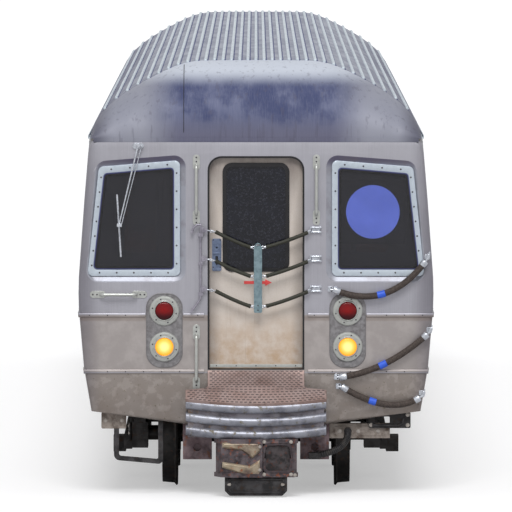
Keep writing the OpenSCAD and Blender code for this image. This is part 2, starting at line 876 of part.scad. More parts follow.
// Axle with two flanged wheels
module wheelset() {
  tread_w = rim_w - 32;
  color("dimgray")
    rotate([0, 90, 0]) {
      for (side = [0, 180])
        rotate([side, 0, 0])
          translate([0, 0, wheel_in])
            rotate_extrude($fn = 96)
              polygon([
                [70, -25], [150, -25], [165, 25], [350, 25], [365, 0], [wheel_r + flange_h - 8, 0],
                [wheel_r + flange_h, 14], [wheel_r + 6, 32], [wheel_r - 3, rim_w], [365, rim_w],
                [350, 65], [165, 65], [150, rim_w + 10], [70, rim_w + 10]
              ]);
      translate([0, 0, -wheel_out - 12]) cylinder(h = 2 * wheel_out + 24, r = 80, $fn = 48);
      translate([0, 0, -frame_out - 12]) cylinder(h = 2 * frame_out + 24, r = journal_r, $fn = 48);
    }
}

module place_wheelset(y) {
  translate([0, y, axle_z]) wheelset();
}

underframe();
truck_pivots();
floor_panel();  // floor
side_wall();  // side_wall_right
mirror([1, 0, 0]) side_wall();  // side_wall_left
lining();  // lining_right
mirror([1, 0, 0]) lining();  // lining_left
side_window_frames();
side_glass();  // side_glass_right
mirror([1, 0, 0]) side_glass();  // side_glass_left
roof();
roof_cap();  // roof_cap_front
rotate([0, 0, 180]) roof_cap();  // roof_cap_rear
union() {  // end_wall_front
  end_wall();
  door_hinges();
}
rotate([0, 0, 180]) {  // end_wall_rear
    end_wall();
    door_hinges();
  }
end_window_frames();
end_glass();  // end_glass_front
rotate([0, 0, 180]) end_glass();  // end_glass_rear
anticlimber();  // anticlimber_front
rotate([0, 0, 180]) anticlimber();  // anticlimber_rear
lamp_plates();
lamp_lenses();
grab_handles();
gate_fittings();
gate_chains();
corner_cables();
cable_hooks();
wipers();
ceiling();
ceiling_lights();
seats();  // seats_right
mirror([1, 0, 0]) seats();  // seats_left
grab_poles();
cab_walls();  // cab_walls_front
rotate([0, 0, 180]) cab_walls();  // cab_walls_rear
cab_fittings();
equipment();
step_irons();
air_hoses();
door_leaves(-1);  // doors_right_fore
door_leaves(1);  // doors_right_aft
mirror([1, 0, 0]) door_leaves(-1);  // doors_left_fore
mirror([1, 0, 0]) door_leaves(1);  // doors_left_aft
end_door();  // end_door_front
rotate([0, 0, 180]) end_door();  // end_door_rear
coupler();  // coupler_front
rotate([0, 0, 180]) coupler();  // coupler_rear
translate([0, -pivot_y, 0]) truck();  // truck_front
translate([0, pivot_y, 0]) truck();  // truck_rear
place_wheelset(-pivot_y - axle_y);  // wheelset_1
place_wheelset(axle_y - pivot_y);  // wheelset_2
place_wheelset(pivot_y - axle_y);  // wheelset_3
place_wheelset(pivot_y + axle_y);  // wheelset_4
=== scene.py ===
"""Metro car: detailed end fittings, roof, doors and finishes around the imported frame."""

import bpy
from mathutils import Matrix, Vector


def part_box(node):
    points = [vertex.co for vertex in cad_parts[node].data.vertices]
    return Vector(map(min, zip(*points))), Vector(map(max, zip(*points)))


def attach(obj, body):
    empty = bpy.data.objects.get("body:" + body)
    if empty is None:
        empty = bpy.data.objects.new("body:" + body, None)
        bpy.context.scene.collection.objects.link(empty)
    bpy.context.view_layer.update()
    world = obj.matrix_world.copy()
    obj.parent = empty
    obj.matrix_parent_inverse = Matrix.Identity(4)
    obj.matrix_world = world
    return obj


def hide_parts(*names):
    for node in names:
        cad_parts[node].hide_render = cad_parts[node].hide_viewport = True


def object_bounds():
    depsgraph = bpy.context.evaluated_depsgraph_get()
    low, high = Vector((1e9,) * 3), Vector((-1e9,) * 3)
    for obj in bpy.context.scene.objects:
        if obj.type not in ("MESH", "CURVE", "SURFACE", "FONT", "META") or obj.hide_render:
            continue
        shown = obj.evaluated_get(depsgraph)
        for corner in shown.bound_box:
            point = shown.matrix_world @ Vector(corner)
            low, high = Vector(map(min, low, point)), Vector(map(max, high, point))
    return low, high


bl_info = {
    "name": "Metro Car Builder",
    "version": (1, 0, 0),
    "blender": (4, 5, 0),
    "location": "3D View > Sidebar > Metro Car",
    "description": "Builds the end fittings, roof, doors and finishes of a metro car around its frame",
    "category": "Object",
}

import math

import bmesh
import bpy
from mathutils import Matrix, Vector, noise
from mathutils.geometry import tessellate_polygon

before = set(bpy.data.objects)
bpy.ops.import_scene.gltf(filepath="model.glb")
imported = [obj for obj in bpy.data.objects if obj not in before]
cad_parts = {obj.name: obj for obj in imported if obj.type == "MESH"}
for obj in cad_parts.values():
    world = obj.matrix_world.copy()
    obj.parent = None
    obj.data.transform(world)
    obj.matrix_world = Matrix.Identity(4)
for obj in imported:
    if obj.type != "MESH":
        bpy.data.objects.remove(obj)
CAD_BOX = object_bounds()

# Body outline: height above the rail and half width, in metres
SIDE_LINE = [
    (0.725, 1.414), (1.1, 1.478), (1.6, 1.522), (1.74, 1.525),
    (1.88, 1.522), (2.54, 1.474), (3.07, 1.43),
]
END_Y = 8.94
WALL = 0.09
SILL_Z = 0.725
EAVE_Z = 3.07
EAVE_X = 1.43
CAP_DEPTH = 0.6
FLOOR_Z = 1.083
CLIMBER_HALF = 0.607
PIN_Y = -8.15
TRUCK_Y = 6.795
AXLE_Y = 1.0415
AXLE_Z = 0.46
DOORWAY_YS = [-6.45, -2.15, 2.15, 6.45]


class MetroCarSizes(bpy.types.PropertyGroup):
    """Sizes that can be changed before the pieces are built"""

    rib_count: bpy.props.IntProperty(
        name="Roof Ribs", description="Raised ribs along the roof", default=33, min=5, max=61)
    rib_half_width: bpy.props.FloatProperty(
        name="Rib Half Width", description="Half the width of a roof rib at its foot",
        default=0.0145, unit="LENGTH")
    rib_height: bpy.props.FloatProperty(
        name="Rib Height", description="Height of a roof rib above the sheet",
        default=0.015, unit="LENGTH")
    bezel_radius: bpy.props.FloatProperty(
        name="Lamp Bezel Radius", description="Outer radius of a lamp's bezel",
        default=0.128, unit="LENGTH")
    lens_radius: bpy.props.FloatProperty(
        name="Lens Radius", description="Radius of a lamp's lens", default=0.077, unit="LENGTH")
    screw_radius: bpy.props.FloatProperty(
        name="Screw Radius", description="Radius of a screw head", default=0.0075, unit="LENGTH")
    chain_radius: bpy.props.FloatProperty(
        name="Chain Sleeve Radius", description="Radius of the sleeve on a gate chain",
        default=0.0165, unit="LENGTH")
    cable_radius: bpy.props.FloatProperty(
        name="Corner Cable Radius", description="Radius of a corner restraint cable",
        default=0.027, unit="LENGTH")
    dash_length: bpy.props.FloatProperty(
        name="Tread Dash Length", description="Length of a raised dash on the tread plate",
        default=0.027, unit="LENGTH")


class MetroCarColours(bpy.types.PropertyGroup):
    """Colours that can be changed before the pieces are built"""

    red_lens: bpy.props.FloatVectorProperty(
        name="Upper Lens", description="Colour of the upper lamps", subtype="COLOR",
        size=3, default=(0.16, 0.004, 0.006))
    amber_lens: bpy.props.FloatVectorProperty(
        name="Lower Lens", description="Colour of the lower lamps' rim", subtype="COLOR",
        size=3, default=(1.0, 0.4, 0.03))
    sign_disc: bpy.props.FloatVectorProperty(
        name="Sign Disc", description="Colour of the lit disc in the sign box", subtype="COLOR",
        size=3, default=(0.15, 0.22, 0.66))
    cable_band: bpy.props.FloatVectorProperty(
        name="Cable Band", description="Colour of the bands on the corner cables",
        subtype="COLOR", size=3, default=(0.03, 0.12, 0.72))
    arrow: bpy.props.FloatVectorProperty(
        name="Door Arrow", description="Colour of the arrow on the end door", subtype="COLOR",
        size=3, default=(0.87, 0.08, 0.08))


# ---------------------------------------------------------------- outlines


def half_width(z):
    """Half width of the body at a height."""
    if z <= SIDE_LINE[0][0]:
        return SIDE_LINE[0][1]
    for (z0, x0), (z1, x1) in zip(SIDE_LINE, SIDE_LINE[1:]):
        if z <= z1:
            return x0 + (x1 - x0) * (z - z0) / (z1 - z0)
    return SIDE_LINE[-1][1]


# Roof section, from the ridge down to the eave: distance from the middle and height, in metres
ROOF_LINE = [
    (0.0, 3.729), (0.25, 3.729), (0.45, 3.727), (0.53, 3.722), (0.61, 3.708), (0.69, 3.682), (0.77, 3.648),
    (0.86, 3.604), (0.95, 3.557), (1.04, 3.506), (1.13, 3.45), (1.21, 3.393), (1.28, 3.334),
    (1.34, 3.268), (1.385, 3.2), (1.415, 3.135), (1.43, 3.07),
]


def roof_height(x):
    """Height of the roof sheet at a distance from the middle."""
    x = abs(x)
    for (x0, z0), (x1, z1) in zip(ROOF_LINE, ROOF_LINE[1:]):
        if x <= x1:
            return z0 + (z1 - z0) * (x - x0) / (x1 - x0)
    return EAVE_Z


def roof_arch():
    """Roof section from the right eave over to the left one."""
    fine = []
    for (x0, z0), (x1, z1) in zip(ROOF_LINE, ROOF_LINE[1:]):
        fine += [(x0, z0), ((x0 + x1) / 2, (z0 + z1) / 2)]
    fine.append(ROOF_LINE[-1])
    for _ in range(2):
        fine = [fine[0]] + [(b[0], (a[1] + 2 * b[1] + c[1]) / 4)
                            for a, b, c in zip(fine, fine[1:], fine[2:])] + [fine[-1]]
    return fine[::-1] + [(-x, z) for x, z in fine[1:]]


def rect(x0, z0, x1, z1):
    return [(x0, z0), (x1, z0), (x1, z1), (x0, z1)]


def offset(points, d):
    """Moves each side of a convex outline outwards by d."""
    area = sum(a[0] * b[1] - b[0] * a[1] for a, b in zip(points, points[1:] + points[:1]))
    turn = 1 if area > 0 else -1
    lines = []
    for a, b in zip(points, points[1:] + points[:1]):
        e = Vector((b[0] - a[0], b[1] - a[1])).normalized()
        n = Vector((e.y, -e.x)) * turn
        lines.append((Vector(a) + n * d, e))
    out = []
    for (p, e), (q, f) in zip(lines[-1:] + lines[:-1], lines):
        k = e.x * f.y - e.y * f.x
        t = ((q.x - p.x) * f.y - (q.y - p.y) * f.x) / k if abs(k) > 1e-9 else 0.0
        out.append(tuple(p + e * t))
    return out


def rounded(points, radius, steps=6):
    """Outline with every corner rounded; radius may be one number or one for each corner."""
    radii = radius if hasattr(radius, "__len__") else [radius] * len(points)
    out = []
    count = len(points)
    for i, r in enumerate(radii):
        p = Vector(points[i])
        a = (Vector(points[i - 1]) - p).normalized()
        b = (Vector(points[(i + 1) % count]) - p).normalized()
        half = a.angle(b) / 2
        if r <= 0:
            out.append(tuple(p))
            continue
        reach = r / math.tan(half)
        centre = p + (a + b).normalized() * (r / math.sin(half))
        start, end = p + a * reach - centre, p + b * reach - centre
        sweep = math.atan2(start.x * end.y - start.y * end.x, start.dot(end))
        for k in range(steps + 1):
            t = sweep * k / steps
            c, s = math.cos(t), math.sin(t)
            out.append((centre.x + start.x * c - start.y * s, centre.y + start.x * s + start.y * c))
    return out


def circle(cx, cz, r, steps=32):
    return [(cx + r * math.cos(2 * math.pi * k / steps), cz + r * math.sin(2 * math.pi * k / steps))
            for k in range(steps)]


def mirror_x(points):
    return [(-x, z) for x, z in reversed(points)]


def bend(a, mid, b, steps=14):
    """Points on a quadratic curve from a to b, drawn towards mid."""
    a, mid, b = Vector(a), Vector(mid), Vector(b)
    return [a * (1 - t) ** 2 + mid * 2 * t * (1 - t) + b * t * t
            for t in (k / steps for k in range(steps + 1))]


def along(points, spacing, start=0.0, closed=True):
    """Points evenly spaced along an outline."""
    pts = [Vector(p) for p in points] + ([Vector(points[0])] if closed else [])
    total = sum((b - a).length for a, b in zip(pts, pts[1:]))
    count = max(1, round(total / spacing))
    wanted = [start + total * k / count for k in range(count)]
    out, run = [], 0.0
    for a, b in zip(pts, pts[1:]):
        step = (b - a).length
        while wanted and run <= wanted[0] <= run + step + 1e-9:
            out.append(tuple(a.lerp(b, (wanted.pop(0) - run) / max(step, 1e-9))))
        run += step
    return out


# ---------------------------------------------------------------- meshes


class Solid:
    """Gathers closed shapes in metres and turns them into one piece."""

    def __init__(self):
        self.bm = bmesh.new()
        self.uv = self.bm.loops.layers.uv.new("run")
        self.finish = 0

    def add(self, verts, faces):
        made = [self.bm.verts.new(v) for v in verts]
        out = []
        for f in faces:
            face = self.bm.faces.new([made[i] for i in f])
            face.material_index = self.finish
            out.append(face)
        return made, out

    @staticmethod
    def place(u, v, a, axis):
        return {"y": (u, a, v), "z": (u, v, a), "x": (a, u, v)}[axis]

    def layers(self, rings, holes=(), axis="y"):
        """Solid through outlines of equal length, each as (position, outline); holes run right through."""
        verts, faces = [], []
        n = len(rings[0][1])
        for a, ring in rings:
            verts += [self.place(u, v, a, axis) for u, v in ring]
        for k in range(len(rings) - 1):
            for i in range(n):
                j = (i + 1) % n
                faces.append((k * n + i, k * n + j, (k + 1) * n + j, (k + 1) * n + i))
        last = (len(rings) - 1) * n
        starts = []
        for hole in holes:
            starts.append(len(verts))
            for a in (rings[0][0], rings[-1][0]):
                verts += [self.place(u, v, a, axis) for u, v in hole]
            m = len(hole)
            s = starts[-1]
            faces += [(s + i, s + (i + 1) % m, s + m + (i + 1) % m, s + m + i) for i in range(m)]
        if holes:
            for end, first in ((0, 0), (1, last)):
                loops = [list(range(first, first + n))]
                loops += [list(range(s + end * len(h), s + (end + 1) * len(h)))
                          for s, h in zip(starts, holes)]
                order = [i for loop in loops for i in loop]
                flat = [[Vector((*rings[end and -1][1][k], 0)) for k in range(n)]]
                flat += [[Vector((*p, 0)) for p in h] for h in holes]
                faces += [tuple(order[i] for i in tri) for tri in tessellate_polygon(flat)]
        else:
            faces += [tuple(range(n)), tuple(range(last, last + n))]
        return self.add(verts, faces)

    def prism(self, outline, a0, a1, holes=(), axis="y"):
        return self.layers([(a0, outline), (a1, outline)], holes, axis)

    def box(self, lo, hi):
        return self.prism(rect(lo[0], lo[2], hi[0], hi[2]), lo[1], hi[1])

    def loft(self, rings):
        """Closed rings of 3-D points joined by quads and closed by end faces."""
        n = len(rings[0])
        verts = [p for ring in rings for p in ring]
        faces = [(k * n + i, k * n + (i + 1) % n, (k + 1) * n + (i + 1) % n, (k + 1) * n + i)
                 for k in range(len(rings) - 1) for i in range(n)]
        faces += [tuple(range(n)), tuple(range(len(verts) - n, len(verts)))]
        return self.add(verts, faces)

    def hoop(self, loops):
        """Ring round an opening: outlines of equal length with their depths, joined into a closed loop."""
        n = len(loops[0][1])
        verts = [self.place(u, v, a, "y") for a, ring in loops for u, v in ring]
        total = len(loops)
        return self.add(verts, [(k * n + i, k * n + (i + 1) % n, (k + 1) % total * n + (i + 1) % n,
                                 (k + 1) % total * n + i) for k in range(total) for i in range(n)])

    def tube(self, points, radius, sides=12, closed=False):
        """Round bar or cord along points; its UV map runs along it in metres and round it once."""
        pts = [Vector(p) for p in points]
        count = len(pts)
        tangents = []
        for i in range(count):
            a = pts[i - 1] if (i or closed) else pts[i]
            b = pts[(i + 1) % count] if (i < count - 1 or closed) else pts[i]
            tangents.append((b - a).normalized())
        side = tangents[0].orthogonal().normalized()
        rings, runs, run = [], [], 0.0
        for i, p in enumerate(pts):
            if i:
                side = tangents[i - 1].rotation_difference(tangents[i]) @ side
                run += (p - pts[i - 1]).length
            side = (side - tangents[i] * side.dot(tangents[i])).normalized()
            up = tangents[i].cross(side)
            r = radius(i / max(count - 1, 1)) if callable(radius) else radius
            rings.append([p + side * (r * math.cos(t)) + up * (r * math.sin(t))
                          for t in (2 * math.pi * k / sides for k in range(sides))])
            runs.append(run)
        verts = [v for ring in rings for v in ring]
        faces = []
        for k in range(count if closed else count - 1):
            n = (k + 1) % count
            faces += [(k * sides + i, k * sides + (i + 1) % sides,
                       n * sides + (i + 1) % sides, n * sides + i) for i in range(sides)]
        if not closed:
            faces += [tuple(range(sides)), tuple(range(len(verts) - sides, len(verts)))]
        made, out = self.add(verts, faces)
        for index, face in enumerate(out[: (count if closed else count - 1) * sides]):
            k, i = divmod(index, sides)
            here = runs[k]
            there = runs[k + 1] if k + 1 < count else runs[k] + (pts[0] - pts[k]).length
            corners = ((here, i), (here, i + 1), (there, i + 1), (there, i))
            for loop, (u, v) in zip(face.loops, corners):
                loop[self.uv].uv = (u, v / sides)
        return made, out

    def turned(self, profile, centre, axis="y", sides=40):
        """Solid of revolution: profile is (radius, height along axis); a radius of 0 closes an end."""
        verts, rings = [], []
        c = Vector(centre)
        for r, h in profile:
            ring = []
            for k in range(1 if r <= 1e-9 else sides):
                t = 2 * math.pi * k / sides
                u, v = r * math.cos(t), r * math.sin(t)
                ring.append(len(verts))
                verts.append(c + Vector({"y": (u, h, v), "z": (u, v, h), "x": (h, u, v)}[axis]))
            rings.append(ring)
        faces = []
        for a, b in zip(rings, rings[1:]):
            for k in range(sides):
                j = (k + 1) % sides
                if len(a) == 1 and len(b) == 1:
                    continue
                if len(a) == 1:
                    faces.append((a[0], b[j], b[k]))
                elif len(b) == 1:
                    faces.append((a[k], a[j], b[0]))
                else:
                    faces.append((a[k], a[j], b[j], b[k]))
        for ring in (rings[0], rings[-1]):
            if len(ring) > 1:
                faces.append(tuple(ring))
        return self.add(verts, faces)

    def copies(self, matrix):
        """Adds a moved or mirrored copy of everything so far."""
        parts = bmesh.ops.duplicate(self.bm, geom=self.bm.verts[:] + self.bm.edges[:] + self.bm.faces[:])
        verts = [g for g in parts["geom"] if isinstance(g, bmesh.types.BMVert)]
        bmesh.ops.transform(self.bm, matrix=matrix, verts=verts)

    def both_sides(self):
        self.copies(Matrix.Scale(-1, 4, (1, 0, 0)))

    def both_ends(self):
        self.copies(Matrix.Rotation(math.pi, 4, "Z"))

    def piece(self, name, finishes, body, bevel=0.0, segments=2, sharp=35, replaces=(), slot=None,
              subdivide=0, noise_move=0.0):
        """Closes the mesh and rides it on its body."""
        bmesh.ops.recalc_face_normals(self.bm, faces=self.bm.faces[:])
        if noise_move:
            for v in self.bm.verts:
                v.co += v.normal * noise_move * noise.noise(v.co * 9.0)
        mesh = bpy.data.meshes.new(name)
        self.bm.to_mesh(mesh)
        self.bm.free()
        obj = bpy.data.objects.new(name, mesh)
        bpy.context.scene.collection.objects.link(obj)
        for mat in finishes if isinstance(finishes, (list, tuple)) else [finishes]:
            mesh.materials.append(mat)
        mesh.shade_smooth()
        mesh.set_sharp_from_angle(angle=math.radians(sharp))
        if bevel:
            mod = obj.modifiers.new("edge", "BEVEL")
            mod.width = bevel
            mod.segments = segments
            mod.limit_method = "ANGLE"
            mod.angle_limit = math.radians(32)
            mod.use_clamp_overlap = True
            mod.harden_normals = True
        if subdivide:
            mod = obj.modifiers.new("smooth", "SUBSURF")
            mod.levels = mod.render_levels = subdivide
        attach(obj, body)
        if replaces:
            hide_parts(*replaces)
        return obj


# ---------------------------------------------------------------- finishes


def rgb(r, g, b):
    """Linear colour from screen values of 0 to 255."""
    return tuple((c / 255 / 12.92) if c / 255 <= 0.04045 else ((c / 255 + 0.055) / 1.055) ** 2.4
                 for c in (r, g, b)) + (1.0,)


class Nodes:
    """Short calls for the nodes of one tree."""

    def __init__(self, tree):
        self.tree = tree

    def new(self, kind, **settings):
        node = self.tree.nodes.new(kind)
        for key, value in settings.items():
            setattr(node, key, value)
        return node

    def put(self, socket, value):
        if isinstance(value, bpy.types.NodeSocket):
            self.tree.links.new(value, socket)
        else:
            socket.default_value = value

    def calc(self, op, a, b=0.0, clamp=False):
        node = self.new("ShaderNodeMath", operation=op, use_clamp=clamp)
        self.put(node.inputs[0], a)
        self.put(node.inputs[1], b)
        return node.outputs[0]

    def span(self, value, low, high, to_low=0.0, to_high=1.0):
        node = self.new("ShaderNodeMapRange", interpolation_type="SMOOTHSTEP")
        for socket, v in zip(node.inputs, (value, low, high, to_low, to_high)):
            self.put(socket, v)
        return node.outputs[0]

    def blend(self, fac, a, b, mode="MIX"):
        node = self.new("ShaderNodeMix", data_type="RGBA", blend_type=mode)
        self.put(node.inputs[0], fac)
        self.put(node.inputs[6], a)
        self.put(node.inputs[7], b)
        return node.outputs[2]

    def spot(self):
        return self.new("ShaderNodeTexCoord").outputs["Object"]

    def xyz(self, vector=None):
        node = self.new("ShaderNodeSeparateXYZ")
        self.put(node.inputs[0], vector if vector is not None else self.spot())
        return node.outputs

    def stretched(self, stretch, vector=None):
        node = self.new("ShaderNodeVectorMath", operation="MULTIPLY")
        self.put(node.inputs[0], vector if vector is not None else self.spot())
        self.put(node.inputs[1], stretch)
        return node.outputs[0]

    def speckle(self, vector, scale, detail=4.0, rough=0.55):
        node = self.new("ShaderNodeTexNoise")
        for key, v in (("Vector", vector), ("Scale", scale), ("Detail", detail), ("Roughness", rough)):
            self.put(node.inputs[key], v)
        return node.outputs["Fac"]


def group(name, inputs, outputs, build):
    """Shader node group with named number inputs and outputs."""
    tree = bpy.data.node_groups.new(name, "ShaderNodeTree")
    for label, kind, default in inputs:
        socket = tree.interface.new_socket(label, in_out="INPUT", socket_type=kind)
        socket.default_value = default
    for label in outputs:
        tree.interface.new_socket(label, in_out="OUTPUT", socket_type="NodeSocketFloat")
    n = Nodes(tree)
    source = n.new("NodeGroupInput")
    target = n.new("NodeGroupOutput")
    results = build(n, {s.name: s for s in source.outputs if s.name})
    for label, result in zip(outputs, results):
        n.put(target.inputs[label], result)
    return tree


FLOAT, VECTOR = "NodeSocketFloat", "NodeSocketVector"
GROUPS = {}


def build_groups():
    """Makes the shared effects once."""

    def grain(n, i):
        line = n.speckle(n.stretched(i["Stretch"]), 1.0, 5.0, 0.6)
        wide = n.speckle(n.stretched(i["Stretch"]), 0.13, 2.0)
        return [line, n.calc("ADD", n.calc("MULTIPLY", line, 0.65), n.calc("MULTIPLY", wide, 0.35))]

    GROUPS["grain"] = group("Brushed Grain", [("Stretch", VECTOR, (200, 200, 3))],
                            ["Line", "Streak"], grain)

    def patches(n, i):
        spots = n.speckle(n.stretched(i["Stretch"]), i["Scale"], 6.0, 0.62)
        return [n.span(spots, i["Low"], i["High"])]

    GROUPS["patches"] = group(
        "Patches", [("Scale", FLOAT, 6.0), ("Low", FLOAT, 0.5), ("High", FLOAT, 0.62),
                    ("Stretch", VECTOR, (1, 1, 1))], ["Mask"], patches)

    def grime(n, i):
        height = n.span(n.xyz()[2], i["Dirty Below"], i["Clean Above"], 1.0, 0.0)
        cloud = n.span(n.speckle(n.spot(), i["Scale"], 6.0, 0.65), 0.32, 0.68)
        both = n.calc("MULTIPLY", height, n.calc("ADD", n.calc("MULTIPLY", cloud, 0.75), 0.25))
        return [n.calc("MULTIPLY", both, i["Amount"], clamp=True)]

    GROUPS["grime"] = group(
        "Low Grime", [("Dirty Below", FLOAT, 0.6), ("Clean Above", FLOAT, 1.6),
                      ("Scale", FLOAT, 7.0), ("Amount", FLOAT, 0.6)], ["Mask"], grime)

    def band(n, i):
        z = n.xyz()[2]
        wander = n.calc("MULTIPLY", n.calc("SUBTRACT", n.speckle(n.spot(), 5.0), 0.5), i["Wander"])
        z = n.calc("ADD", z, wander)
        low = n.span(z, n.calc("SUBTRACT", i["Bottom"], i["Soft"]), i["Bottom"])
        high = n.span(z, i["Top"], n.calc("ADD", i["Top"], i["Soft"]), 1.0, 0.0)
        return [n.calc("MULTIPLY", low, high)]

    GROUPS["band"] = group(
        "Height Band", [("Bottom", FLOAT, 0.0), ("Top", FLOAT, 1.0), ("Soft", FLOAT, 0.01),
                        ("Wander", FLOAT, 0.0)], ["Mask"], band)

    def edges(n, i):
        point = n.new("ShaderNodeNewGeometry").outputs["Pointiness"]
        edge = n.span(point, 0.5, n.calc("ADD", 0.5, i["Reach"]))
        rough = n.span(n.speckle(n.spot(), i["Scale"], 5.0, 0.6), 0.38, 0.62)
        return [n.calc("MULTIPLY", edge, rough)]

    GROUPS["edges"] = group("Worn Edges", [("Reach", FLOAT, 0.08), ("Scale", FLOAT, 30.0)],
                            ["Mask"], edges)


class Finish(Nodes):
    """One named material with a Principled surface."""

    def __init__(self, name, roughness=0.5, metallic=0.0, **fixed):
        self.mat = bpy.data.materials.new(name)
        self.mat.use_nodes = True
        super().__init__(self.mat.node_tree)
        self.shader = self.tree.nodes["Principled BSDF"]
        self.shader.inputs["Roughness"].default_value = roughness
        self.shader.inputs["Metallic"].default_value = metallic
        for key, value in fixed.items():
            self.shader.inputs[key.replace("_", " ")].default_value = value

    def effect(self, name, **inputs):
        node = self.new("ShaderNodeGroup", node_tree=GROUPS[name])
        for key, value in inputs.items():
            self.put(node.inputs[key.replace("_", " ")], value)
        return node.outputs[0]

    def colour(self, value):
        self.put(self.shader.inputs["Base Color"], value)
        return self

    def roughness(self, mask, low, high):
        self.put(self.shader.inputs["Roughness"], self.span(mask, 0.0, 1.0, low, high))
        return self

    def relief(self, height, distance, strength=0.6):
        bump = self.new("ShaderNodeBump")
        bump.inputs["Strength"].default_value = strength
        bump.inputs["Distance"].default_value = distance
        self.put(bump.inputs["Height"], height)
        self.put(self.shader.inputs["Normal"], bump.outputs[0])
        return self


def sheet_finish(name, upper, middle, low, stretch, blotch=0.5, edge=0.0):
    """Brushed stainless sheet that gets dirtier below each belt, with painted shade towards its outer side
    edges when edge is above zero.
    """
    f = Finish(name, 0.42, 0.5)
    line = f.effect("grain", Stretch=stretch)
    cloud = f.effect("patches", Scale=2.2, Low=0.35, High=0.7)
    base = f.blend(cloud, rgb(*[c - 5 for c in upper]), rgb(*[c + 4 for c in upper]))
    base = f.blend(f.calc("MULTIPLY", f.span(line, 0.35, 0.7), 0.3), base,
                   rgb(*[min(c + 22, 255) for c in upper]))
    mottle = f.effect("patches", Scale=9.0, Low=0.4, High=0.66)
    mid = f.blend(mottle, rgb(*middle), rgb(*[c + 10 for c in middle]))
    base = f.blend(f.effect("band", Bottom=1.068, Top=1.553, Soft=0.006), base, mid)
    blot = f.effect("patches", Scale=12.0, Low=0.5, High=0.6)
    bottom = f.blend(f.calc("MULTIPLY", blot, blotch), rgb(*low), rgb(*[c + 26 for c in low]))
    olive = f.effect("patches", Scale=34.0, Low=0.62, High=0.68)
    bottom = f.blend(f.calc("MULTIPLY", olive, 0.7), bottom, rgb(96, 88, 58))
    base = f.blend(f.effect("band", Bottom=0.0, Top=1.05, Soft=0.012), base, bottom)
    grime = f.effect("grime", Dirty_Below=0.55, Clean_Above=1.25, Scale=5.0, Amount=0.4)
    base = f.blend(grime, base, rgb(104, 84, 66))
    # painted shade: the sheet darkens towards its outer side edges by the share given in edge, standing in for
    # shade on the rounded corners
    wide = f.calc("ABSOLUTE", f.xyz()[0])
    base = f.blend(f.calc("MULTIPLY", f.span(wide, 1.3, 1.5), edge), base, rgb(92, 88, 98))
    shelf = f.effect("band", Bottom=1.515, Top=1.536, Soft=0.02, Wander=0.012)
    base = f.blend(f.calc("MULTIPLY", shelf, 0.35), base, rgb(116, 96, 82))
    f.colour(base).roughness(f.calc("ADD", f.calc("MULTIPLY", line, 0.5),
                                    f.calc("MULTIPLY", mottle, 0.5)), 0.36, 0.52)
    f.relief(line, 0.0006, 0.35)
    return f.mat


def plain_metal(name, colour, dark, roughness=0.4, metallic=0.6, scale=18.0, amount=0.5,
                stretch=(40, 40, 40)):
    """Metal with soft stains and fine marks."""
    f = Finish(name, roughness, metallic)
    stain = f.effect("patches", Scale=scale, Low=0.42, High=0.68)
    mark = f.effect("grain", Stretch=stretch)
    base = f.blend(f.calc("MULTIPLY", stain, amount), rgb(*colour), rgb(*dark))
    base = f.blend(f.calc("MULTIPLY", f.effect("edges", Reach=0.06), 0.5), base,
                   rgb(*[min(c + 34, 255) for c in colour]))
    f.colour(base).roughness(stain, roughness - 0.06, roughness + 0.14)
    f.relief(mark, 0.0008, 0.25)
    return f.mat


def rusty_iron(name, colour, dark, rust, roughness=0.62, metallic=0.35, scale=14.0, amount=0.8,
               pit=0.003):
    """Cast or rolled iron with rust specks, dust and pitting."""
    f = Finish(name, roughness, metallic)
    broad = f.effect("patches", Scale=scale * 0.35, Low=0.35, High=0.7)
    base = f.blend(broad, rgb(*colour), rgb(*dark))
    specks = f.effect("patches", Scale=scale * 2.4, Low=0.55, High=0.64)
    base = f.blend(f.calc("MULTIPLY", specks, amount), base, rgb(*rust))
    wear = f.effect("edges", Reach=0.05, Scale=scale)
    base = f.blend(f.calc("MULTIPLY", wear, 0.6), base, rgb(*[min(c + 48, 255) for c in colour]))
    f.colour(base).roughness(specks, roughness - 0.08, roughness + 0.2)
    f.relief(f.speckle(f.spot(), scale * 5, 6.0, 0.7), pit, 0.5)
    return f.mat


def soft_rubber(name, colour, dust, roughness=0.6, scale=20.0, amount=0.3):
    """Rubber or sleeve with a dusty bloom."""
    f = Finish(name, roughness)
    bloom = f.effect("patches", Scale=scale, Low=0.4, High=0.72)
    f.colour(f.blend(f.calc("MULTIPLY", bloom, amount), rgb(*colour), rgb(*dust)))
    f.roughness(bloom, roughness - 0.1, roughness + 0.15)
    f.relief(f.speckle(f.spot(), 160.0), 0.0006, 0.4)
    return f.mat


def braided(name, colour, gap, pitch=0.012, strands=6.0):
    """Braid that follows the cord's own UV map."""
    f = Finish(name, 0.7)
    uv = f.xyz(f.new("ShaderNodeUVMap", uv_map="run").outputs[0])
    turn = 2 * math.pi
    along_ = f.calc("MULTIPLY", uv[0], turn / pitch / 2)
    round_ = f.calc("MULTIPLY", uv[1], turn * strands / 2)
    a = f.calc("ABSOLUTE", f.calc("SINE", f.calc("ADD", along_, round_)))
    b = f.calc("ABSOLUTE", f.calc("SINE", f.calc("SUBTRACT", along_, round_)))
    weave = f.calc("MULTIPLY", a, b)
    grit = f.effect("patches", Scale=60.0, Low=0.4, High=0.65)
    base = f.blend(f.span(weave, 0.05, 0.5), rgb(*gap), rgb(*colour))
    base = f.blend(f.calc("MULTIPLY", grit, 0.45), base, rgb(*[min(c + 26, 255) for c in colour]))
    f.colour(base).relief(weave, 0.002, 0.8)
    return f.mat


def clear_glass(name, colour, transmission=0.55, roughness=0.03):
    """Dark window glass with a faint film of dust."""
    f = Finish(name, roughness, 0.0, Transmission_Weight=transmission, IOR=1.5)
    film = f.effect("patches", Scale=3.0, Low=0.3, High=0.8)
    f.colour(f.blend(film, rgb(*colour), rgb(*[c + 6 for c in colour])))
    f.roughness(film, roughness, roughness + 0.06)
    return f.mat


MADE = {}


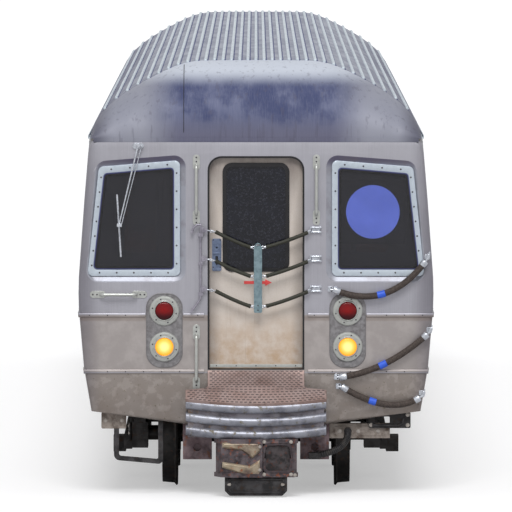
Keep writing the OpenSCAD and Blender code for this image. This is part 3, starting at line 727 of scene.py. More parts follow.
def dress(finish, *nodes):
    """Gives CAD nodes a finish through their own material slots."""
    for name in nodes:
        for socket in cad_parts[name].material_slots:
            socket.material = MADE[finish]


def make_lens(name, rim, centre, glow, painted_shade_below):
    """Lamp lens: radial colour from the lens's own attribute, with fine vertical flutes and, when asked for,
    painted shade darkening its lower part.
    """
    f = Finish(name, 0.16, 0.0, Specular_IOR_Level=0.25)
    rad = f.new("ShaderNodeAttribute", attribute_name="rad").outputs["Fac"]
    base = f.blend(f.span(rad, 0.15, 0.95), centre, rim)
    flute = f.calc("SINE", f.calc("MULTIPLY", f.xyz()[0], 520.0))
    if painted_shade_below:
        # painted shade: the lens darkens towards its bottom
        low = f.new("ShaderNodeAttribute", attribute_name="low").outputs["Fac"]
        base = f.blend(f.calc("MULTIPLY", f.span(low, -0.1, 0.75), 0.8), base, rgb(34, 6, 14))
    f.colour(base).relief(flute, 0.001, 0.35)
    if glow:
        f.put(f.shader.inputs["Emission Color"], base)
        f.shader.inputs["Emission Strength"].default_value = glow
    return f.mat


# Arguments of plain_metal for each finish
METALS = {
    # painted highlight: the ribs and gutters get a lighter copy of the roof steel, standing in for light on
    # their tops
    "rib_top": ((190, 200, 208), (146, 156, 170), 0.5, 0.15, 6.0, 0.35),
    # painted shadow: dark strip beside each roof rib, standing in for the rib's shade
    "rib_line": ((44, 52, 104), (30, 34, 66), 0.65, 0.0, 8.0, 0.4),
    "frame_steel": ((196, 206, 216), (154, 164, 178), 0.36, 0.45, 9.0, 0.3, (160, 160, 6)),
    "pale_steel": ((182, 184, 180), (132, 134, 130), 0.34, 0.6, 30.0, 0.45),
    "lamp_plate": ((128, 126, 128), (94, 88, 90), 0.46, 0.5, 8.0, 0.5, (180, 180, 4)),
    "screw_dark": ((66, 62, 68), (40, 34, 34), 0.5, 0.6, 60.0, 0.5),
    "bolt_pale": ((170, 164, 158), (110, 90, 74), 0.45, 0.6, 60.0, 0.6),
    "lock_steel": ((116, 130, 158), (72, 82, 104), 0.38, 0.55, 26.0, 0.5),
    "rod_steel": ((148, 144, 156), (94, 90, 102), 0.36, 0.6, 22.0, 0.5),
    "link_silver": ((196, 200, 208), (116, 116, 124), 0.3, 0.7, 40.0, 0.5),
    "strap_steel": ((116, 138, 146), (74, 90, 98), 0.45, 0.4, 20.0, 0.5),
    "tread_dash": ((70, 58, 58), (46, 38, 38), 0.5, 0.4, 30.0, 0.5),
}
# Arguments of soft_rubber for each finish
RUBBERS = {
    "gasket_blue": ((58, 62, 110), (84, 88, 124), 0.45, 12.0, 0.35),
    "gasket_black": ((14, 13, 17), (48, 46, 52), 0.5, 18.0, 0.2),
    "sleeve_olive": ((38, 38, 28), (64, 64, 50), 0.62, 40.0, 0.5),
    "sign_face": ((22, 23, 32), (40, 42, 54), 0.5, 6.0, 0.5),
    "black_rubber": ((28, 27, 30), (84, 78, 72), 0.6, 22.0, 0.4),
}
# Arguments of clear_glass for each finish
GLASSES = {
    "glass_end": ((92, 92, 104), 0.88),
    "glass_side": ((22, 25, 29), 0.45),
}
# Arguments of rusty_iron for each finish
IRONS = {
    "climber_steel": ((138, 140, 150), (98, 98, 108), (104, 92, 60), 0.45, 0.5, 10.0, 0.75, 0.0015),
    # painted shade: the anticlimber core is a darker copy of the climber steel, standing in for shade in the
    # grooves between the ribs
    "climber_face": ((96, 92, 100), (62, 58, 62), (112, 88, 58), 0.55, 0.4, 9.0, 0.7, 0.002),
    "coupler_iron": ((74, 64, 68), (46, 40, 43), (140, 74, 42), 0.56, 0.4, 12.0, 0.85, 0.003),
    "coupler_worn": ((158, 144, 122), (92, 76, 70), (138, 74, 42), 0.45, 0.4, 16.0, 0.85, 0.002),
    "coupler_dark": ((40, 33, 35), (22, 19, 21), (110, 58, 36), 0.7, 0.2, 14.0, 0.5, 0.003),
    "black_iron": ((32, 30, 32), (19, 18, 20), (66, 50, 38), 0.6, 0.3, 12.0, 0.5, 0.002),
    "dusty_iron": ((128, 118, 110), (92, 80, 72), (78, 58, 42), 0.66, 0.2, 10.0, 0.6, 0.002),
    "mauve_iron": ((112, 92, 96), (74, 60, 64), (136, 84, 56), 0.6, 0.3, 12.0, 0.6, 0.002),
    "truck_iron": ((33, 30, 30), (20, 18, 19), (70, 48, 34), 0.68, 0.25, 8.0, 0.7, 0.004),
    "pan_paint": ((74, 74, 76), (52, 50, 50), (96, 72, 52), 0.65, 0.15, 5.0, 0.5, 0.002),
    "case_paint": ((88, 88, 90), (60, 58, 58), (104, 80, 58), 0.6, 0.2, 4.0, 0.5, 0.0015),
}
PLAIN_FINISHES = ((plain_metal, METALS), (soft_rubber, RUBBERS), (clear_glass, GLASSES), (rusty_iron, IRONS))


def make_finishes(colours):
    """Builds every finish once."""
    build_groups()
    m = MADE
    for make, table in PLAIN_FINISHES:
        for name, values in table.items():
            m[name] = make(name, *values)
    m["end_sheet"] = sheet_finish("end_sheet", (168, 167, 175), (166, 159, 157), (150, 142, 137),
                                  (230, 230, 2.4), edge=0.55)
    m["side_sheet"] = sheet_finish("side_sheet", (172, 172, 176), (166, 161, 158), (146, 136, 126),
                                   (2.4, 2.4, 230), 0.35)
    f = Finish("dish_sheet", 0.42, 0.45)
    line = f.effect("grain", Stretch=(200, 200, 3))
    # painted shade: the dish darkens near its top, standing in for the shade under its upper edge
    base = f.blend(f.span(f.xyz()[2], 2.78, 2.9), rgb(160, 162, 172), rgb(96, 92, 112))
    base = f.blend(f.calc("MULTIPLY", f.effect("patches", Scale=8.0, Low=0.45, High=0.7), 0.4), base,
                   rgb(116, 108, 112))
    f.colour(base).roughness(line, 0.36, 0.52).relief(line, 0.0005, 0.3)
    m["dish_sheet"] = f.mat
    f = Finish("roof_sheet", 0.6, 0.1)
    # painted shade: the roof sheet darkens down its shoulders, standing in for the shoulders turning away from
    # the light
    shoulder = f.span(f.xyz()[2], 3.15, 3.68)
    stain = f.effect("patches", Scale=2.0, Low=0.35, High=0.65, Stretch=(3, 0.6, 3))
    base = f.blend(shoulder, rgb(80, 82, 106), rgb(152, 156, 170))
    base = f.blend(f.calc("MULTIPLY", stain, 0.4), base, rgb(92, 94, 118))
    f.colour(base).roughness(stain, 0.52, 0.68).relief(f.speckle(f.spot(), 60.0), 0.001, 0.3)
    m["roof_sheet"] = f.mat

    f = Finish("cap_sheet", 0.62, 0.1)
    z = f.xyz()[2]
    low = f.blend(f.span(z, 3.07, 3.32), rgb(98, 98, 120), rgb(84, 90, 122))
    streak = f.effect("patches", Scale=1.0, Low=0.36, High=0.62, Stretch=(4.2, 1.5, 3.2))
    middle = f.effect("band", Bottom=3.26, Top=3.6, Soft=0.09, Wander=0.16)
    base = f.blend(f.calc("MULTIPLY", f.calc("MULTIPLY", streak, middle), 0.85), low, rgb(48, 58, 100))
    line = f.effect("grain", Stretch=(120, 30, 1.6))
    base = f.blend(f.calc("MULTIPLY", f.span(line, 0.42, 0.7), 0.22), base, rgb(118, 122, 146))
    wide = f.calc("ABSOLUTE", f.xyz()[0])
    base = f.blend(f.calc("MULTIPLY", f.span(wide, 0.62, 1.0), 0.85), base, rgb(150, 152, 164))
    # painted shade: darker towards the cap's outer corners, where they turn away from the light
    base = f.blend(f.calc("MULTIPLY", f.span(wide, 1.2, 1.4), 0.8), base, rgb(72, 72, 90))
    # painted highlight: lighter along the top of the cap, where light falls on it
    base = f.blend(f.span(z, 3.5, 3.66), base, rgb(196, 202, 214))
    drip = f.effect("patches", Scale=1.0, Low=0.56, High=0.66, Stretch=(26, 26, 1.3))
    base = f.blend(f.calc("MULTIPLY", drip, 0.3), base, rgb(74, 70, 86))
    f.colour(base).roughness(streak, 0.55, 0.7).relief(line, 0.0008, 0.3)
    m["cap_sheet"] = f.mat


    f = Finish("glass_speckled", 0.08, 0.0, Transmission_Weight=0.12, IOR=1.5)
    dots = f.effect("patches", Scale=70.0, Low=0.5, High=0.62)
    smear = f.effect("patches", Scale=3.0, Low=0.4, High=0.7, Stretch=(1, 1, 2.2))
    base = f.blend(f.calc("MULTIPLY", dots, 0.6), rgb(17, 18, 28), rgb(52, 54, 66))
    f.colour(f.blend(f.calc("MULTIPLY", smear, 0.4), base, rgb(32, 36, 50))).roughness(dots, 0.05, 0.3)
    m["glass_speckled"] = f.mat

    f = Finish("door_enamel", 0.5)
    cloud = f.effect("patches", Scale=4.0, Low=0.3, High=0.75)
    base = f.blend(cloud, rgb(208, 197, 187), rgb(216, 207, 199))
    grit = f.effect("patches", Scale=110.0, Low=0.5, High=0.68)
    base = f.blend(f.calc("MULTIPLY", grit, 0.3), base, rgb(188, 170, 150))
    grime = f.effect("grime", Dirty_Below=1.12, Clean_Above=1.75, Scale=9.0, Amount=0.75)
    base = f.blend(grime, base, rgb(176, 142, 104))
    runs = f.effect("patches", Scale=1.0, Low=0.58, High=0.68, Stretch=(34, 34, 1.6))
    base = f.blend(f.calc("MULTIPLY", runs, 0.28), base, rgb(160, 140, 118))
    # painted shade: the door darkens towards its top and towards its sides, standing in for shade in the
    # doorway's recess; the patches only vary how dark the top gets
    top = f.effect("patches", Scale=1.0, Low=0.3, High=0.75, Stretch=(5, 5, 1.5))
    shade = f.calc("MULTIPLY", f.span(f.xyz()[2], 2.2, 2.98), f.calc("ADD", f.calc("MULTIPLY", top, 0.4), 0.45))
    side = f.calc("MULTIPLY", f.span(f.calc("ABSOLUTE", f.xyz()[0]), 0.28, 0.385), 0.42)
    base = f.blend(f.calc("MAXIMUM", shade, side), base, rgb(96, 86, 84))
    f.colour(base).roughness(grit, 0.42, 0.6).relief(f.speckle(f.spot(), 240.0), 0.0008, 0.4)
    m["door_enamel"] = f.mat

    m["lens_red"] = make_lens("lens_red", tuple(colours.red_lens) + (1,), rgb(132, 16, 18), 0.03, True)
    m["lens_amber"] = make_lens("lens_amber", tuple(colours.amber_lens) + (1,), rgb(255, 226, 140),
                                0.6, False)
    m["cable_braid"] = braided("cable_braid", (72, 60, 54), (18, 14, 14))
    f = Finish("cable_band", 0.45)
    scuff = f.effect("patches", Scale=40.0, Low=0.5, High=0.66)
    f.colour(f.blend(f.calc("MULTIPLY", scuff, 0.35), tuple(colours.cable_band) + (1,), rgb(30, 52, 130)))
    f.relief(f.speckle(f.spot(), 120.0), 0.0005, 0.4)
    m["cable_band"] = f.mat
    f = Finish("door_arrow", 0.5)
    fade = f.effect("patches", Scale=24.0, Low=0.45, High=0.7)
    f.colour(f.blend(f.calc("MULTIPLY", fade, 0.3), tuple(colours.arrow) + (1,), rgb(236, 128, 112)))
    m["door_arrow"] = f.mat
    f = Finish("sign_disc", 0.5)
    lit = f.effect("patches", Scale=3.0, Low=0.3, High=0.7)
    base = f.blend(lit, tuple(colours.sign_disc) + (1,), tuple(c * 1.15 for c in colours.sign_disc) + (1,))
    f.colour(base)
    f.put(f.shader.inputs["Emission Color"], base)
    f.shader.inputs["Emission Strength"].default_value = 6.0
    m["sign_disc"] = f.mat

    f = Finish("tread_copper", 0.48, 0.45)
    worn = f.effect("patches", Scale=7.0, Low=0.38, High=0.66)
    base = f.blend(worn, rgb(128, 106, 100), rgb(148, 130, 126))
    base = f.blend(f.calc("MULTIPLY", f.effect("patches", Scale=22.0, Low=0.56, High=0.66), 0.6),
                   base, rgb(84, 66, 58))
    f.colour(base).roughness(worn, 0.4, 0.6).relief(f.speckle(f.spot(), 90.0), 0.0015, 0.4)
    m["tread_copper"] = f.mat
    f = Finish("wheel_steel", 0.6, 0.2)
    tread = f.effect("patches", Scale=9.0, Low=0.4, High=0.66)
    base = f.blend(tread, rgb(34, 30, 29), rgb(22, 20, 20))
    base = f.blend(f.calc("MULTIPLY", f.effect("patches", Scale=26.0, Low=0.54, High=0.64), 0.7),
                   base, rgb(64, 44, 32))
    f.colour(base).roughness(tread, 0.42, 0.68).relief(f.speckle(f.spot(), 70.0, 6.0, 0.7), 0.002, 0.5)
    m["wheel_steel"] = f.mat

    f = Finish("floor_rubber", 0.75)
    fleck = f.effect("patches", Scale=240.0, Low=0.56, High=0.62)
    tread = f.effect("patches", Scale=1.6, Low=0.35, High=0.7)
    base = f.blend(tread, rgb(70, 66, 64), rgb(88, 83, 80))
    f.colour(f.blend(fleck, base, rgb(150, 146, 140))).relief(f.speckle(f.spot(), 300.0), 0.001, 0.4)
    m["floor_rubber"] = f.mat
    f = Finish("lining_panel", 0.45)
    smear = f.effect("patches", Scale=2.5, Low=0.35, High=0.75)
    base = f.blend(smear, rgb(206, 202, 192), rgb(216, 213, 205))
    grime = f.effect("grime", Dirty_Below=1.1, Clean_Above=1.6, Scale=6.0, Amount=0.4)
    f.colour(f.blend(grime, base, rgb(150, 138, 122))).roughness(smear, 0.38, 0.52)
    f.relief(f.speckle(f.spot(), 180.0), 0.0006, 0.3)
    m["lining_panel"] = f.mat
    f = Finish("seat_plastic", 0.4)
    scuff = f.effect("patches", Scale=16.0, Low=0.5, High=0.72)
    base = f.blend(f.effect("patches", Scale=2.0, Low=0.3, High=0.7), rgb(206, 120, 46), rgb(216, 134, 60))
    f.colour(f.blend(f.calc("MULTIPLY", scuff, 0.35), base, rgb(172, 96, 44)))
    f.roughness(scuff, 0.34, 0.55).relief(f.speckle(f.spot(), 220.0), 0.0005, 0.3)
    m["seat_plastic"] = f.mat
    f = Finish("light_cover", 0.4)
    glow = f.blend(f.effect("patches", Scale=3.0, Low=0.3, High=0.7), rgb(240, 240, 232), rgb(250, 250, 246))
    f.colour(glow)
    f.put(f.shader.inputs["Emission Color"], glow)
    f.shader.inputs["Emission Strength"].default_value = 0.9
    m["light_cover"] = f.mat

    dress("side_sheet", "side_wall_left", "side_wall_right")
    dress("lining_panel", "lining_left", "lining_right", "ceiling", "cab_walls_front", "cab_walls_rear")
    dress("floor_rubber", "floor")
    dress("pan_paint", "underframe")
    dress("case_paint", "equipment")
    dress("truck_iron", "truck_front", "truck_rear", "truck_pivots")
    dress("wheel_steel", "wheelset_1", "wheelset_2", "wheelset_3", "wheelset_4")
    dress("seat_plastic", "seats_left", "seats_right")
    dress("pale_steel", "grab_poles")
    dress("light_cover", "ceiling_lights")
    dress("black_rubber", "cab_fittings")
    dress("glass_side", "side_glass_left", "side_glass_right")
    dress("frame_steel", "side_window_frames")


# ---------------------------------------------------------------- repeats


def scatter_tree():
    """Puts a fitting on every point, turned to face the way the point's attribute says."""
    tree = bpy.data.node_groups.new("Fittings on Points", "GeometryNodeTree")
    face = tree.interface
    face.new_socket("Points", in_out="INPUT", socket_type="NodeSocketGeometry")
    face.new_socket("Fitting", in_out="INPUT", socket_type="NodeSocketObject")
    size = face.new_socket("Size", in_out="INPUT", socket_type="NodeSocketFloat")
    size.default_value = 1.0
    face.new_socket("Finish", in_out="INPUT", socket_type="NodeSocketMaterial")
    face.new_socket("Pieces", in_out="OUTPUT", socket_type="NodeSocketGeometry")
    n = Nodes(tree)
    source, target = n.new("NodeGroupInput"), n.new("NodeGroupOutput")
    info = n.new("GeometryNodeObjectInfo")
    n.put(info.inputs["Object"], source.outputs["Fitting"])
    facing = n.new("GeometryNodeInputNamedAttribute", data_type="FLOAT_VECTOR")
    facing.inputs["Name"].default_value = "facing"
    turn = n.new("FunctionNodeAlignRotationToVector", axis="Z", pivot_axis="AUTO")
    n.put(turn.inputs["Vector"], facing.outputs[0])
    spread = n.new("GeometryNodeInstanceOnPoints")
    n.put(spread.inputs["Points"], source.outputs["Points"])
    n.put(spread.inputs["Instance"], info.outputs["Geometry"])
    n.put(spread.inputs["Rotation"], turn.outputs[0])
    n.put(spread.inputs["Scale"], source.outputs["Size"])
    real = n.new("GeometryNodeRealizeInstances")
    n.put(real.inputs[0], spread.outputs[0])
    paint = n.new("GeometryNodeSetMaterial")
    n.put(paint.inputs["Geometry"], real.outputs[0])
    n.put(paint.inputs["Material"], source.outputs["Finish"])
    n.put(target.inputs[0], paint.outputs[0])
    return tree


TREES = {}


def scatter(name, fitting, spots, finish, body, size=1.0):
    """Puts a fitting, a Solid drawn round the origin and facing up Z, at (point, facing) pairs."""
    if "scatter" not in TREES:
        TREES["scatter"] = scatter_tree()
    tree = TREES["scatter"]
    shape = bpy.data.meshes.new("fitting")
    bmesh.ops.recalc_face_normals(fitting.bm, faces=fitting.bm.faces[:])
    fitting.bm.to_mesh(shape)
    fitting.bm.free()
    shape.shade_smooth()
    shape.set_sharp_from_angle(angle=math.radians(38))
    pattern = bpy.data.objects.new("fitting", shape)
    cloud = bpy.data.meshes.new("points")
    cloud.from_pydata([tuple(p) for p, _ in spots], [], [])
    facing = cloud.attributes.new("facing", "FLOAT_VECTOR", "POINT")
    for item, (_, way) in zip(facing.data, spots):
        item.vector = Vector(way).normalized()
    holder = bpy.data.objects.new("points", cloud)
    for o in (pattern, holder):
        bpy.context.scene.collection.objects.link(o)
    mod = holder.modifiers.new("spread", "NODES")
    mod.node_group = tree
    values = {"Fitting": pattern, "Size": size, "Finish": MADE[finish]}
    for item in tree.interface.items_tree:
        if item.in_out == "INPUT" and item.name in values:
            mod[item.identifier] = values[item.name]
    bpy.context.view_layer.update()
    made = holder.evaluated_get(bpy.context.evaluated_depsgraph_get())
    mesh = bpy.data.meshes.new_from_object(made)
    mesh.name = name
    obj = bpy.data.objects.new(name, mesh)
    bpy.context.scene.collection.objects.link(obj)
    for o in (holder, pattern):
        bpy.data.objects.remove(o)
    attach(obj, body)
    return obj


def turned_round(spots):
    """Adds the same spots at the other end of the car."""
    spin = Matrix.Rotation(math.pi, 3, "Z")
    return spots + [(spin @ Vector(p), spin @ Vector(n)) for p, n in spots]


def screw_head(radius):
    """Domed head with a round dimple in its top, twelve-sided."""
    s = Solid()
    s.turned([(radius, -0.001), (radius, radius * 0.22), (radius * 0.72, radius * 0.5),
              (radius * 0.34, radius * 0.56), (radius * 0.22, radius * 0.3), (0, radius * 0.26)],
             (0, 0, 0), "z", 12)
    return s


def bolt_head(radius):
    """Hexagon head on a washer."""
    s = Solid()
    s.turned([(radius * 1.35, -0.001), (radius * 1.35, radius * 0.18)], (0, 0, 0), "z", 16)
    s.turned([(radius, radius * 0.15), (radius, radius * 0.85), (radius * 0.82, radius)],
             (0, 0, 0), "z", 6)
    return s


def rivet_head(radius):
    s = Solid()
    s.turned([(radius, -0.001), (radius * 0.86, radius * 0.34), (radius * 0.45, radius * 0.58),
              (0, radius * 0.64)], (0, 0, 0), "z", 10)
    return s


FRONT = (0, -1, 0)
FACE = -END_Y


# ---------------------------------------------------------------- cords


CHAIN_Y = FACE - 0.04
CHAIN_ZS = [FLOOR_Z + h for h in (1.205, 0.956, 0.697)]
CHAIN_LEFT, CHAIN_RIGHT, STRAP_X, CHAIN_SAG = -0.475, 0.514, 0.017, 0.16
CABLE_Y = FACE - 0.05
CABLES = [
    [(0.665, 0.694), (1.13, 0.5), (1.454, 0.937)],
    [(0.72, -0.06), (1.12, -0.01), (1.47, 0.31)],
    [(0.735, -0.14), (1.15, -0.4), (1.405, -0.235)],
]
HOSE = [(0.79, FACE + 0.0899, 0.55), (0.795, FACE + 0.0097, 0.38), (0.5, FACE + 0.0597, 0.34)]


def run_length(path):
    return sum((b - a).length for a, b in zip(path, path[1:]))


def make_cord(name, path, radius, finish, replaces, slot, ribs=0.0, sides=12):
    """One cord on the car body."""
    s = Solid()
    total = run_length(path)
    if ribs:
        fine = [a.lerp(b, k / 4) for a, b in zip(path, path[1:]) for k in range(4)] + [path[-1]]
        s.tube(fine, lambda t: radius * (0.93 + 0.07 * math.cos(2 * math.pi * t * total / ribs)), sides)
    else:
        s.tube(path, radius, sides)
    obj = s.piece(name, MADE[finish], "carbody", replaces=replaces, slot=slot)
    return obj


def chain_runs():
    """Sleeve centrelines at the front: left and right of the strap for each chain."""
    out = []
    for z in CHAIN_ZS:
        left = (CHAIN_LEFT + 0.132, CHAIN_Y, z - 0.018)
        right = (CHAIN_RIGHT - 0.074, CHAIN_Y, z - 0.024)
        low = z - CHAIN_SAG
        out.append((left, (-0.185, CHAIN_Y, z - 0.102), (STRAP_X - 0.066, CHAIN_Y, low + 0.012)))
        out.append((right, (0.24, CHAIN_Y, z - 0.108), (STRAP_X + 0.073, CHAIN_Y, low + 0.014)))
    return out


def cable_path(route, steps=26):
    a, mid, b = [(x, CABLE_Y, FLOOR_Z + h) for x, h in route]
    return bend(a, mid, b, steps)


class CAR_OT_cords(bpy.types.Operator):
    """Gate chain sleeves, corner cables and air hoses, each as a cord"""

    bl_idname = "car.cords"
    bl_label = "Chains, Cables and Hoses"

    def execute(self, context):
        sizes = context.scene.metro_car_sizes
        spin = Matrix.Rotation(math.pi, 3, "Z")
        for end, turn in (("front", Matrix.Identity(3)), ("rear", spin)):
            for i, run in enumerate(chain_runs()):
                path = [turn @ p for p in bend(*run, 20)]
                make_cord(f"chain_sleeve_{end}_{i + 1}", path, sizes.chain_radius, "sleeve_olive",
                          ["gate_chains"], "chain_sleeve")
            for i, route in enumerate(CABLES):
                path = [turn @ p for p in cable_path(route)]
                make_cord(f"corner_cable_{end}_{i + 1}", path, sizes.cable_radius, "cable_braid",
                          ["corner_cables"], "cable_sleeve", sides=16)
            path = [turn @ p for p in bend(*HOSE, 39)]
            make_cord(f"air_hose_{end}", path, 0.031, "black_rubber", ["air_hoses"],
                      "black_rubber", ribs=0.016, sides=14)
        return {"FINISHED"}


# ---------------------------------------------------------------- end of the car

END_FRAME = [(0.651, 1.888), (1.45, 1.888), (1.349, 2.828), (0.651, 2.885)]
END_GLASS = [(0.712, 1.954), (1.389, 1.954), (1.298, 2.763), (0.712, 2.814)]
WINDOW_DISH = [(0.603, 1.838), (1.463, 1.838), (1.372, 2.874), (0.603, 2.933)]
BELTS = [1.068, 1.553]
LAMP_X, LAMP_HALF = 0.787, 0.157
LAMP_ZS = [1.281, 1.591]


def end_outline(inset):
    """Outline of the end sheet, moved in by an inset and rounded at the top corners."""
    right = [(half_width(z) - inset, z) for z in
             (0.725, 0.9, 1.1, 1.35, 1.6, 1.74, 1.88, 2.1, 2.3, 2.54, 2.75, 2.95)]
    top = EAVE_Z - inset
    corner = [(EAVE_X - inset - 0.075 * (1 - math.cos(t)), top - 0.075 * (1 - math.sin(t)))
              for t in (0.0, 0.4, 0.8, 1.2, math.pi / 2)]
    low = [(CLIMBER_HALF - inset, SILL_Z - 0.111 + inset)]
    half = low + right + corner
    return half + mirror_x(half)


class CAR_OT_end_shell(bpy.types.Operator):
    """End sheets with rounded corners, belts and window openings"""

    bl_idname = "car.end_shell"
    bl_label = "End Sheets"

    def execute(self, context):
        s = Solid()
        door = rounded(rect(-0.415, FLOOR_Z, 0.415, FLOOR_Z + 1.836), [0.002, 0.002, 0.12, 0.12], 8)
        window = rounded(WINDOW_DISH, 0.1, 7)
        rings = [(FACE, end_outline(0.034)), (FACE + 0.0035, end_outline(0.022)),
                 (FACE + 0.012, end_outline(0.011)), (FACE + 0.025, end_outline(0.0035)),
                 (FACE + 0.042, end_outline(0.0)), (FACE + WALL, end_outline(0.0))]
        s.layers(rings, [door, window, mirror_x(window)])
        s.both_ends()
        s.piece("end_sheets", MADE["end_sheet"], "carbody", 0.002, 2, 30,
                ["end_wall_front", "end_wall_rear"], "stainless")

        dish = Solid()
        sink = rounded(offset(END_FRAME, -0.006), 0.042, 7)
        dish.hoop([(FACE + 0.0004, offset_round(WINDOW_DISH, 0.001, 0.101)),
                   (FACE + 0.0004, offset_round(WINDOW_DISH, -0.002, 0.098)),
                   (FACE + 0.004, offset_round(WINDOW_DISH, -0.011, 0.09)),
                   (FACE + 0.02, rounded(offset(END_FRAME, 0.004), 0.05, 7)), (FACE + 0.024, sink),
                   (FACE + 0.034, sink), (FACE + 0.034, offset_round(WINDOW_DISH, 0.001, 0.101))])
        dish.both_sides()
        dish.both_ends()
        dish.piece("window_dishes", MADE["dish_sheet"], "carbody", sharp=50, slot="stainless")

        b = Solid()
        for z in BELTS:
            spans = [(0.445, half_width(z) + 0.008)]
            if z > LAMP_ZS[0]:
                spans = [(0.445, LAMP_X - LAMP_HALF - 0.004), (LAMP_X + LAMP_HALF + 0.004,
                                                               half_width(z) + 0.008)]
            for x0, x1 in spans:
                for side in (1, -1):
                    a, c = sorted((side * x0, side * x1))
                    profile = [(FACE + 0.03, z - 0.018), (FACE - 0.007, z - 0.018),
                               (FACE - 0.011, z - 0.008), (FACE - 0.011, z + 0.008),
                               (FACE - 0.007, z + 0.018), (FACE + 0.03, z + 0.018)]
                    b.layers([(a, profile), (c, profile)], axis="x")
        b.both_ends()
        b.piece("end_belts", MADE["end_sheet"], "carbody", 0.003, 2, 30, slot="stainless")
        reveal = Solid()
        outer = rounded(rect(-0.415, FLOOR_Z + 0.001, 0.415, FLOOR_Z + 1.835), [0.002, 0.002, 0.12, 0.12], 8)
        inner = rounded(rect(-0.4, FLOOR_Z + 0.002, 0.4, FLOOR_Z + 1.82), [0.001, 0.001, 0.105, 0.105], 8)
        reveal.prism(outer, FACE + 0.002, FACE + 0.046, [inner])
        reveal.both_ends()
        reveal.piece("doorway_reveals", MADE["gasket_black"], "carbody", slot="black_rubber")
        spots = []
        for side in (1, -1):
            for z in BELTS:
                for k in range(7):
                    x = 0.5 + k * 0.155
                    if abs(x - LAMP_X) > 0.19 or z < LAMP_ZS[0]:
                        if x < half_width(z) - 0.06:
                            spots.append(((side * x, FACE - 0.0105, z), FRONT))
        scatter("belt_rivets", rivet_head(0.006), turned_round(spots), "screw_dark", "carbody")
        return {"FINISHED"}


class CAR_OT_end_windows(bpy.types.Operator):
    """End window frames, gaskets, glass, screws and the sign box behind the right-hand pane"""

    bl_idname = "car.end_windows"
    bl_label = "End Windows"

    def execute(self, context):
        sizes = context.scene.metro_car_sizes
        frame_, blue, black = Solid(), Solid(), Solid()
        outer = rounded(END_FRAME, 0.045, 7)
        hole = rounded(offset(END_GLASS, 0.008), 0.032, 7)
        y = FACE + 0.008
        frame_.hoop([(y + 0.003, outer), (y, offset_round(END_FRAME, -0.004, 0.042)),
                     (y - 0.0015, offset_round(END_FRAME, -0.02, 0.036)),
                     (y - 0.0005, offset_round(END_GLASS, 0.016, 0.036)), (y + 0.002, hole),
                     (y + 0.026, hole), (y + 0.026, outer)])
        blue.prism(rounded(offset(END_GLASS, 0.0085), 0.034, 7), y - 0.002, y + 0.018,
                   [rounded(offset(END_GLASS, 0.0), 0.028, 7)])
        black.prism(rounded(offset(END_GLASS, 0.0), 0.028, 7), y + 0.001, y + 0.024,
                    [rounded(offset(END_GLASS, -0.016), 0.02, 7)])
        for s in (frame_, blue, black):
            s.both_sides()
            s.both_ends()
        frame_.piece("end_window_rims", MADE["frame_steel"], "carbody", 0.0025, 2, 30,
                     ["end_window_frames"], "window_frame")
        blue.piece("end_window_seals", MADE["gasket_blue"], "carbody", 0.002, 2, 30, slot="black_rubber")
        black.piece("end_window_edges", MADE["gasket_black"], "carbody", 0.003, 2, 30, slot="black_rubber")
        for end, sign in (("front", 1), ("rear", -1)):
            g = Solid()
            g.prism(rounded(offset(END_GLASS, -0.004), 0.024, 7), FACE + 0.022, FACE + 0.028)
            g.both_sides()
            if sign < 0:
                g.both_ends()
                keep = [v for v in g.bm.verts if v.co.y > 0]
                bmesh.ops.delete(g.bm, geom=[v for v in g.bm.verts if v not in set(keep)], context="VERTS")
            g.piece(f"end_panes_{end}", MADE["glass_end"], "carbody", replaces=[f"end_glass_{end}"],
                    slot="window_glass")
        spots = []
        ring = offset(END_FRAME, -0.03)
        counts = [5, 7, 4, 6]
        for (a, b), count in zip(zip(ring, ring[1:] + ring[:1]), counts):
            for k in range(count):
                t = (k + 0.5) / count
                x, z = a[0] + (b[0] - a[0]) * t, a[1] + (b[1] - a[1]) * t
                for side in (1, -1):
                    spots.append(((side * x, FACE + 0.0067, z), FRONT))
        scatter("end_window_screws", screw_head(sizes.screw_radius), turned_round(spots), "screw_dark",
                "carbody")

        box, disc, rim = Solid(), Solid(), Solid()
        box.box((0.737, FACE + 0.045, 2.176), (1.272, FACE + 0.075, 2.706))
        rim.prism(rounded(rect(0.725, 2.164, 1.284, 2.718), 0.02), FACE + 0.04, FACE + 0.05,
                  [rounded(rect(0.747, 2.186, 1.262, 2.696), 0.01)])
        disc.turned([(0, 0.0), (0.226, 0.0), (0.23, 0.004), (0.23, 0.012), (0, 0.012)],
                    (1.003, FACE + 0.034, 2.439), "y", 64)
        for s in (box, disc, rim):
            s.both_ends()
        box.piece("sign_boxes", MADE["sign_face"], "carbody", 0.006, replaces=["cab_fittings"],
                  slot="black_rubber")
        desk = Solid()
        back = FACE + WALL
        desk.prism(rect(-1.33, FLOOR_Z, -0.505, 1.883), back, back + 0.26)
        desk.prism(rect(-1.33, 1.783, -0.505, 1.883), back + 0.26, back + 0.38)
        desk.turned([(0.04, 0.0), (0.04, 0.43)], (-0.9, back + 0.68, FLOOR_Z), "z", 24)
        desk.turned([(0.16, 0.425), (0.19, 0.44), (0.19, 0.475), (0.17, 0.49), (0, 0.494)],
                    (-0.9, back + 0.68, FLOOR_Z), "z", 36)
        for k in range(4):
            desk.turned([(0.022, 0.0), (0.018, 0.05), (0, 0.055)], (-1.2 + 0.17 * k, back + 0.2, 1.883),
                        "z", 16)
        desk.both_ends()
        desk.piece("cab_desks", MADE["case_paint"], "carbody", 0.012, slot="black_rubber")
        rim.piece("sign_rims", MADE["gasket_black"], "carbody", 0.002, slot="black_rubber")
        disc.piece("sign_discs", MADE["sign_disc"], "carbody", slot="light_cover")
        return {"FINISHED"}


def offset_round(points, d, radius, steps=7):
    return rounded(offset(points, d), radius, steps)


